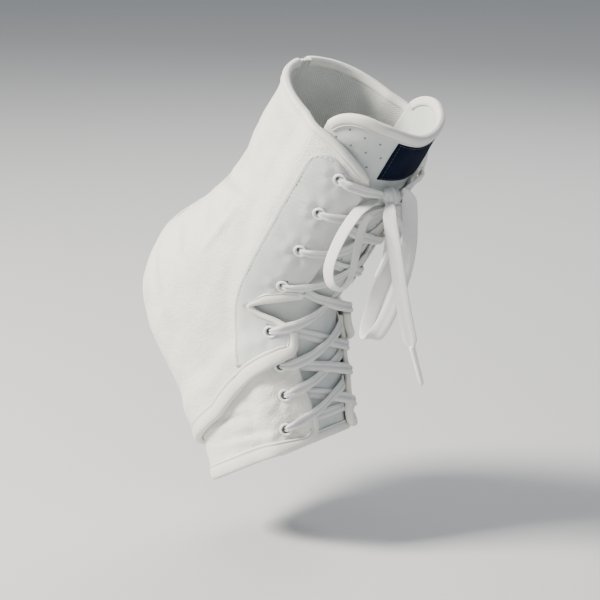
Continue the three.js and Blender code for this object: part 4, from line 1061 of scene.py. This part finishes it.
def quarterGrid():
    c = np.linspace(0, 1, 100)[None, :]

    def spread(u, start):
        return start + c * (halfGirth(u) - cloth["seamGap"] - start)

    high = np.linspace(-100, shaftBend, 30)[:, None]
    run = spread(high, frontEdge)
    blocks = [(lerp(rimAt(run), shaftBend, (high + 100) / 40), run)]
    low = np.concatenate([np.linspace(shaftBend, -10, 38)[1:], np.linspace(-10, 12, 46)[1:]])[:, None]
    run = spread(low, frontEdge + np.maximum(0, cloth["notchDepth"] * column(cloth["notch"], low)))
    blocks.append((np.broadcast_to(low, run.shape), run))
    u = lerp(12.0, rearEdge(c), np.linspace(0, 1, 30)[1:, None])
    blocks.append((u, spread(u, frontEdge)))
    return [np.concatenate(part) for part in zip(*blocks)]


def makeQuarters():
    u, run = quarterGrid()
    for side, word in bothSides:
        relief = quarterRelief(u, run, side)
        edge = smooth(0.9 - (run - run[:, :1]), 0, 0.9) * 0.5
        # painted shade in the relief's hollows and along the heel seam
        deep = np.clip(-relief * 0.35, 0, 0.5) + 0.45 * bell(halfGirth(u) - run, 3.0)
        piece = panel("quarter_" + word + "_vinyl", u, run, quarterOuter(u, run) + relief - edge, cloth["wall"], vinyl,
                      side, shaftSpots, soften=deep, inside=lining)
        place(piece, "vinyl", "quarter_" + word)


makeQuarters()
print("quarters made")


# where the facing starts, a little under the tape round the notch and along the rear edge
def facingStart(u):
    notch = frontEdge + cloth["notchDepth"] * np.maximum(column(cloth["notch"], u), 0) + 0.9 * (u > -9) * (u < 13)
    shares = np.linspace(0, 0.6, 120)
    edges = rearEdge(shares)
    runs = frontEdge + shares * (halfGirth(edges) - frontEdge)
    rear = np.interp(u, edges - lerp(2.4, 6.2, smooth(runs, frontEdge, 40)), runs)
    return np.clip(np.where(u > 11, np.maximum(notch, rear), notch), frontEdge, facingBack - 0.7)


def makeFacings():
    rows, c = np.linspace(0, 1, 84)[:, None], np.linspace(0, 1, 40)[None, :]
    run = frontEdge + c * cloth["facingWidth"]
    for _ in range(3):
        u = lerp(facingTopAt(run), 24.8, rows)
        start = facingStart(u)
        run = start + c * (facingBack - start)
    back, front = facingBack - 1.8, frontEdge + 3.2
    down, arc, top = np.linspace(-84, 24, 90), np.linspace(frontEdge + 2.5, back, 50), np.linspace(-78, -17, 50)
    arcLevel = facingTopAt(arc) + 1.8
    for side, word in bothSides:
        relief = puckers(u, run, shaftSpots, side) + 0.10 * ripples(skin(u, run, 0), 9, 21 + side)
        edges = np.minimum(np.minimum(run - run[:, :1], facingBack - run), u - facingTopAt(run))
        lift = 0.42 * bell(run - run[:, :1] - 1.4, 1.1) * (run[:, :1] < frontEdge + 0.5)
        groove = 0.24 * bell(edges - 1.8, 0.6) * (run > 30)
        drop = 0.62 * np.exp(-np.maximum(edges, 0) / 0.45)
        # painted shade in the groove inside the stitched edge and in the puckers' hollows
        deep = 0.85 * bell(edges - 1.8, 0.8) * (run > 30) + np.clip(-relief * 0.5, 0, 0.5)
        piece = panel("facing_" + word + "_cloth", u, run, facingOuter(u, run) + relief + lift - groove - drop, 0.75,
                      facingCloth, side, shaftSpots, soften=np.clip(deep, 0, 1))
        place(piece, "facing_cloth", "facing_" + word)
        sewn.append(seam(down, back, facingOuter(down, back) - 0.05, side))
        sewn.append(seam(arcLevel, arc, facingOuter(arcLevel, arc) - 0.05, side))
        sewn.append(seam(top, front, facingOuter(top, front) + 0.12, side))


makeFacings()
print("facings made")


def makeForefoot():
    half = np.linspace(0, 1, 74)
    c = np.concatenate([half, half[:-1][::-1]])[None, :]
    t = np.linspace(0, 1, 62)[:, None]
    start = rearEdge(c) - cloth["overlap"]
    end = hemAt(wrapFront(hem) + c * (halfGirth(hem) - wrapFront(hem)))
    u = lerp(start, end, t)
    run = wrapFront(u) + c * (halfGirth(u) - wrapFront(u))
    flip = np.broadcast_to(np.concatenate([np.ones(len(half)), -np.ones(len(half) - 1)]), u.shape)
    points = skin(u, run, 0)
    points[..., 1] *= flip
    relief = (0.30 * ripples(points, 26, 31) + 0.12 * ripples(points, 10, 32)) * smooth(u, 20, 40)
    relief += foldRelief(u, run, wrapFolds) * np.where(flip > 0, 1.0, 0.7)
    relief += puckers(u, run, footSpots, 2, 0.5)
    lift = 0.4 * bell(run - wrapFront(u) - 1.5, 1.2)
    drop = 0.6 * np.exp(-(run - wrapFront(u)) / 0.6)
    # painted shade in the relief's hollows
    piece = panel("forefoot_wrap_vinyl", u, run, overTongue(u, run) + relief + lift - drop, cloth["wall"], vinyl, 1,
                  footSpots, flip=flip, soften=np.clip(-relief * 0.4, 0, 0.5), inside=lining)
    place(piece, "vinyl", "forefoot_wrap")
    down = np.linspace(34, 62, 26)
    front = wrapFront(down) + 3.0
    for side in (1, -1):
        sewn.append(seam(down, front, overTongue(down, front) + 0.1, side))


makeForefoot()
print("forefoot wrap made")


def tongueRelief(u, run):
    points = skin(u, run, 0)
    return 0.16 * ripples(points, 22, 41) + 0.07 * ripples(points, 9, 42)


def makeTongue():
    c = np.linspace(-1, 1, 88)[None, :]
    base = np.concatenate([np.linspace(-cloth["tongueRise"], shaftBend, 40)[:, None],
                           np.linspace(shaftBend, hem + cloth["tongueBeyond"], 92)[1:, None]])
    run = c * tongueHalf(base)
    share = (base + cloth["tongueRise"]) / (shaftBend + cloth["tongueRise"])
    u = np.where(share < 1, lerp(tongueTopAt(run), shaftBend, share), base)
    relief = tongueRelief(u, run) - 0.25 * bell(np.abs(run) - tongueHalf(u), 2.0)
    # painted shade in the tongue's hollows and along its sunk edges
    piece = panel("tongue_cloth", u, run, tongueOuter + relief, cloth["tongue"], tongueCloth,
                  soften=np.clip(-relief, 0, 0.3))
    place(piece, "tongue_cloth", "tongue")


makeTongue()
print("tongue made")


# perforations of the tongue, in staggered rows clear of the label
perforations = {"pitch": 8.6, "radius": 0.66, "top": -108.0, "bottom": -20.0}


def makePerforations(spec):
    spots = []
    for k, u in enumerate(np.arange(spec["top"], spec["bottom"], spec["pitch"] * 0.87)):
        reach = float(tongueHalf(u)) - 7
        for run in np.arange(-5, 6) * spec["pitch"] + (k % 2) * spec["pitch"] / 2:
            clear = abs(run) > 20 or u > -84
            if abs(run) < reach and clear and u > tongueTopAt(run) + 8:
                spots.append((u, run))
    u, run = np.array(spots).T
    line = seam(u, run, tongueOuter + tongueRelief(u, run) + 0.02)
    piece = grow("tongue_perforations", "perforations", [line], shadowHole, radius=spec["radius"] * mm)
    place(piece, "tongue_cloth")


makePerforations(perforations)


# the label: a bare woven patch, sewn on along its edge
label = {"width": 34.0, "height": 21.0, "inset": 1.5, "raised": 0.25}


def makeLabel(spec):
    inset = spec["inset"]
    end = float(tongueTopAt(0)) + cloth["narrowTape"] + 4 * cloth["gap"] + spec["height"]
    t, c = np.linspace(0, 1, 40)[:, None], np.linspace(-1, 1, 64)[None, :]

    def upperAt(run):
        return tongueTopAt(run) + cloth["narrowTape"] * 0.9

    run = np.broadcast_to(c * spec["width"] / 2, (t.size, c.size))
    u = lerp(upperAt(run), end, t)
    edge = np.minimum(np.minimum(u - upperAt(run), end - u), spec["width"] / 2 - np.abs(run))
    swell = 0.18 * ripples(skin(u, run, 0), 17, 51) - 0.5 * np.exp(-edge / 0.4) - 0.16 * bell(edge - inset, 0.5)
    high = tongueOuter + cloth["gap"] + cloth["label"] + spec["raised"]
    # painted shade in the groove along the stitched border
    piece = panel("label_patch_bare", u, run, high + swell, cloth["label"] + 0.35, navy,
                  soften=0.5 * bell(edge - inset, 0.8))
    place(piece, "label", "label_patch")
    low, side = end - inset, spec["width"] / 2 - inset
    across, down = np.linspace(-side, side, 30), np.linspace(end - spec["height"] + inset - 1.6, low, 20)
    rows = [seam(upperAt(across) + inset, across, high), seam(low, across, high),
            seam(down, -side, high), seam(down, side, high)]
    stitches = grow("label_stitches", "stitches", rows, navyThread,
                    pitch=0.0021, length=0.0017, width=0.0004, height=0.0003)
    place(stitches, "label")


makeLabel(label)


# binding tapes: a closed profile [reach into the cloth as a share of the width, height over it]
def foldedProfile(groove=0.78):
    flat = 1 - groove
    return np.array([
        (1.0, 0.05), (1 - 0.08 * flat, 0.50), (1 - 0.32 * flat, 0.88), (groove + 0.28 * flat, 0.84), (groove, 0.52),
        (0.92 * groove, 0.84), (0.77 * groove, 1.16), (0.54 * groove, 1.34), (0.28 * groove, 1.38), (0.04, 1.24),
        (-0.55, 0.92), (-0.9, 0.35), (-1.05, -0.5), (-1.0, -1.4), (-0.7, -2.1), (-0.3, -2.45),
        (0.04, -2.5), (0.4, -2.45), (0.75, -2.4), (0.76, -2.05), (0.04, -2.0), (0.0, -1.0), (0.0, 0.05)])


flatProfile = np.array([
    (0.5, 0.05), (0.49, 0.50), (0.44, 0.66), (0.38, 0.60), (0.34, 0.52), (0.28, 0.64), (0.14, 0.74), (0.0, 0.78),
    (-0.14, 0.74), (-0.28, 0.64), (-0.34, 0.52), (-0.38, 0.60), (-0.44, 0.66), (-0.49, 0.50), (-0.5, 0.05),
    (0.0, 0.05)])


# how far the levels and the runs change for each millimetre into the cloth, square to a line over it
def intoCloth(u, run, turn=1):
    down, around, out = formFrame(u, run)
    travel = down * np.gradient(u)[:, None] + around * np.gradient(run)[:, None]
    into = unit(np.cross(travel, out)) * turn
    skew = (down * around).sum(1)
    perLevel = ((into * down).sum(1) - skew * (into * around).sum(1)) / ((down * down).sum(1) - skew**2)
    return perLevel[:, None], ((into * around).sum(1) - skew * perLevel)[:, None], out


def unevenness(lengths, seed):
    return (0.10 * np.sin(lengths / 5.3 + seed) + 0.06 * np.sin(lengths / 2.1 + 2 * seed))[:, None]


def makeTape(node, u, run, width, base, side=1, *, lift, turn=1, thin=1.0, seed=3, groove=0.78):
    inward, high = foldedProfile(groove).T
    perLevel, perRun, out = intoCloth(u, run, turn)
    lengths = lengthsOf(formPoint(u, run))
    reach = np.where(inward > 0, inward * np.broadcast_to(width, u.shape)[:, None], inward * thin)
    tuck = np.where(np.abs(inward - groove) < 0.08, -0.10 * np.cos(2 * math.pi * lengths / 2.6)[:, None], 0)
    heights = np.where(high > 0, high * thin + lift, high) + unevenness(lengths, seed) * (high > 0.3) + tuck
    pu, pr = u[:, None] + perLevel * reach, run[:, None] + perRun * reach
    rings = skin(pu, pr, base(pu, pr) + heights)
    rings[..., 1] *= side
    faces = tubeFaces(len(u), len(inward), True)
    if side * turn < 0:
        faces = [face[::-1] for face in faces]
    # painted shade in the tape's stitch groove
    paintedShade = 0.8 * bell(inward - groove, 0.06) * (high > 0.3)
    place(tubePiece(node + "_tape", rings, faces, bindingTape, reach / 10, lengths, paintedShade), "tape", node)
    sewn.append((rings[:, 4], unit(out * np.array((1, side, 1)))))


def chaikin(path, rounds):
    path = np.array(path, float)
    for _ in range(rounds):
        a, b = path[:-1] * 0.75 + path[1:] * 0.25, path[:-1] * 0.25 + path[1:] * 0.75
        path = np.concatenate([path[:1], np.stack([a, b], 1).reshape(-1, 2), path[-1:]])
    return path


def evenly(path, spacing):
    lengths = lengthsOf(path)
    at = np.linspace(0, lengths[-1], max(6, int(lengths[-1] / spacing)))
    return np.interp(at, lengths, path[:, 0]), np.interp(at, lengths, path[:, 1])


def makeSideBindings(side, word):
    half = float(halfGirth(-form["shaftRise"])) - cloth["backTape"] / 2 - 0.3
    run = np.concatenate([np.linspace(half, facingBack, 70), np.linspace(facingBack, frontEdge + 2.0, 46)[1:]])
    width = lerp(4.1, 5.2, smooth(run, 40, 90)) - 1.7 * (1 - smooth(run, frontEdge, 31))
    makeTape("rim_binding_" + word, rimAt(run), run, width, quarterOuter, side, lift=0.15, groove=0.5)
    notch = chaikin([(float(downTo(at)), frontEdge + cloth["notchDepth"] * max(back, 0.0))
                     for at, back in cloth["notch"]], 3)
    notch = np.concatenate([[(-12.5, frontEdge), (-9.5, frontEdge + 0.1)], notch])
    u, run = evenly(chaikin(notch, 1), 0.6)
    t = np.linspace(-0.14, 1, len(u))
    width = lerp(5.4, 1.8, smooth(t, 0.22, 0.44)) - 2.4 * (1 - smooth(t, -0.14, 0.05))
    lift = lerp(0.55, 0.3, np.maximum(t, 0))[:, None]
    makeTape("notch_binding_" + word, u, run, width, quarterOuter, side, lift=lift, thin=1.1)
    share = np.linspace(0, 0.995, 100)
    edge = rearEdge(share)
    rear = np.column_stack([edge, frontEdge + share * (halfGirth(edge) - frontEdge)])
    u, run = evenly(chaikin(np.concatenate([[(10.2, frontEdge)], rear]), 4), 0.8)
    width = lerp(3.2, cloth["wideTape"], smooth(np.arange(len(u)) * 0.8, 3, 18))
    makeTape("rear_edge_binding_" + word, u, run, width, quarterOuter, side, lift=0.45, thin=1.2, seed=5)


# the hem's tape goes all round under the sole: one half is worked out and the other mirrors it
def makeHem():
    start = float(wrapFront(hem))
    run = np.concatenate([start + np.linspace(0.05, 1, 30) ** 1.6 * cloth["hemCorner"],
                          np.linspace(start + cloth["hemCorner"], float(halfGirth(hem)), 96)[1:]])
    climb = np.linspace(55.5, hemAt(run)[0], 9)[:-1]  # up the front edge as far as the last strand
    u, run = np.concatenate([climb, hemAt(run)]), np.concatenate([wrapFront(climb), run])
    width = lerp(3.4, cloth["wideTape"], smooth(lengthsOf(np.column_stack([u, run])), 8, 42))
    inward, high = foldedProfile().T
    perLevel, perRun, out = intoCloth(u, run)
    reach = np.where(inward > 0, inward * width[:, None], inward)
    lengths = lengthsOf(formPoint(u, run))
    heights = np.where(high > 0, high * 1.15 + 0.25, high) + unevenness(lengths, 0) * (high > 0.3)
    pu, pr = u[:, None] + perLevel * reach, run[:, None] + perRun * reach
    rings = skin(pu, pr, overTongue(pu, pr) + heights)
    rings[-1, :, 1] = 0.0
    whole = np.concatenate([rings, rings[:-1][::-1] * np.array((1, -1, 1))])
    along = np.concatenate([lengths, 2 * lengths[-1] - lengths[:-1][::-1]])
    across = np.concatenate([reach, reach[:-1][::-1]]) / 10
    # painted shade in the tape's stitch groove
    piece = tubePiece("hem_binding_tape", whole, tubeFaces(len(whole), len(inward), True), bindingTape, across, along,
                      0.7 * bell(inward - 0.78, 0.07) * (high > 0.3))
    place(piece, "tape", "hem_binding")
    for side in (1, -1):
        sewn.append(mirrorLine((rings[:, 4], out), side))


def makeBindings():
    for side, word in bothSides:
        makeSideBindings(side, word)
    makeHem()

    def onTongue(u, run):
        return tongueOuter

    top = np.linspace(-0.985, 0.985, 150) * cloth["tongueHalf"]
    makeTape("tongue_top_binding", tongueTopAt(top), top, cloth["narrowTape"], onTongue, turn=-1,
             lift=0.15, thin=1.15, seed=8)
    level = hem + cloth["tongueBeyond"]
    end = np.linspace(-1, 1, 70) * float(tongueHalf(level))
    makeTape("tongue_end_binding", 0 * end + level, end, cloth["narrowTape"], onTongue, lift=0.1, seed=9)


makeBindings()


def makeBackTape():
    offset = flatProfile[:, 0] * cloth["backTape"]
    rings = []
    for u in np.linspace(-99.2, 43.5, 130):
        run = halfGirth(u) - np.abs(offset)
        level = np.full(len(run), u)
        under = np.where(offset < 0, quarterRelief(level, run, -1), quarterRelief(level, run, 1))
        point = skin(level, run, quarterOuter(level, run) + np.maximum(under, -0.5) + flatProfile[:, 1] + 0.3)
        point[:, 1] *= np.where(offset < 0, -1, 1)
        point[np.abs(offset) < 0.01, 1] = 0
        rings.append(point)
    rings = np.array(rings)
    middle = rings[:, 7]
    # painted shade in the tape's two stitch grooves
    piece = tubePiece("heel_seam_tape_strip", rings, tubeFaces(len(rings), len(offset)), bindingTape,
                      offset[None, :] / 10, lengthsOf(middle), 0.7 * bell(np.abs(flatProfile[:, 0]) - 0.34, 0.04))
    place(piece, "tape", "heel_seam_tape")
    ups = unit(middle - rings[:, 15])
    for j in (4, 10):
        sewn.append((rings[:, j] + ups * 0.1, ups))


makeBackTape()
print("bindings sewn on")


# eyelets on their seats
def makeEyelets():
    u, run = np.array(eyeletSpots).T
    onWrap = np.arange(len(u)) >= cloth["shaftEyelets"]
    height = np.where(onWrap, overTongue(u, run), facingOuter(u, run)) - 0.35
    for side, word in bothSides:
        piece = grow("eyelets_" + word, "eyelets", [seam(u, run, height, side)], enamel, depth=0.0036)
        place(piece, "eyelet", *["eyelet_%d_%s" % (i + 1, word) for i in range(len(u))])


makeEyelets()


def makeStitches():
    piece = grow("cream_stitches", "stitches", sewn, thread, pitch=0.0028, length=0.0022, width=0.0006, height=0.00045)
    place(piece, "tape")
    tacks = []
    for side in (1, -1):  # bar tacks across the rear edge's tape
        for share in (0.292, 0.300, 0.308, 0.316):
            edge = float(rearEdge(share))
            run = frontEdge + share * (float(halfGirth(edge)) - frontEdge)
            u = np.linspace(edge - 6.6, edge - 0.6, 12)
            tacks.append(seam(u, run + (u - edge) * 0.2, quarterOuter(u, run) + 1.5, side))
    piece = grow("bar_tacks", "stitches", tacks, thread, pitch=0.0011, length=0.0012, width=0.0005, height=0.0005)
    place(piece, "tape")


makeStitches()
print("stitched")


# plain pale floor and soft studio light
studio = {
    "floor": -129.0, "reach": 12.0, "floorColour": (0.50, 0.505, 0.515, 1.0),
    "world": (0.84, 0.91, 1.0, 1.0), "worldStrength": 0.39, "target": (0.02, 0, 0.03),
    "lamps": {  # place, size, power, colour
        "key": ((-0.72, -0.90, 0.96), 0.40, 79.0, (1.0, 0.945, 0.86)),
        "fill": ((1.1, -0.9, 0.35), 0.9, 4.0, (0.84, 0.92, 1.0)),
        "back": ((-0.35, 1.0, 0.9), 0.7, 12.0, (1.0, 0.98, 0.95)),
    },
}


def makeStudio(spec):
    data, reach = bpy.data.meshes.new("floor"), spec["reach"]
    corners = [(-reach, -reach, 0), (reach, -reach, 0), (reach, reach, 0), (-reach, reach, 0)]
    data.from_pydata(corners, [], [(0, 1, 2, 3)])
    paper = bpy.data.materials.new("pale_floor")
    paper.use_nodes = True
    shader = paper.node_tree.nodes["Principled BSDF"]
    shader.inputs["Base Color"].default_value = spec["floorColour"]
    shader.inputs["Roughness"].default_value = 0.9
    data.materials.append(paper)
    floor = addObject("floor", data)
    floor.location.z = spec["floor"] * mm
    world = bpy.data.worlds.new("studio")
    world.use_nodes = True
    light = world.node_tree.nodes["Background"].inputs
    light[0].default_value, light[1].default_value = spec["world"], spec["worldStrength"]
    bpy.context.scene.world = world
    for name, (spot, size, power, colour) in spec["lamps"].items():
        lamp = bpy.data.lights.new(name, "AREA")
        lamp.size, lamp.energy, lamp.color = size, power, colour
        holder = addObject(name, lamp)
        holder.location = spot
        turnTo(holder, Vector(spec["target"]) - Vector(spot))


makeStudio(studio)
print("studio lit")
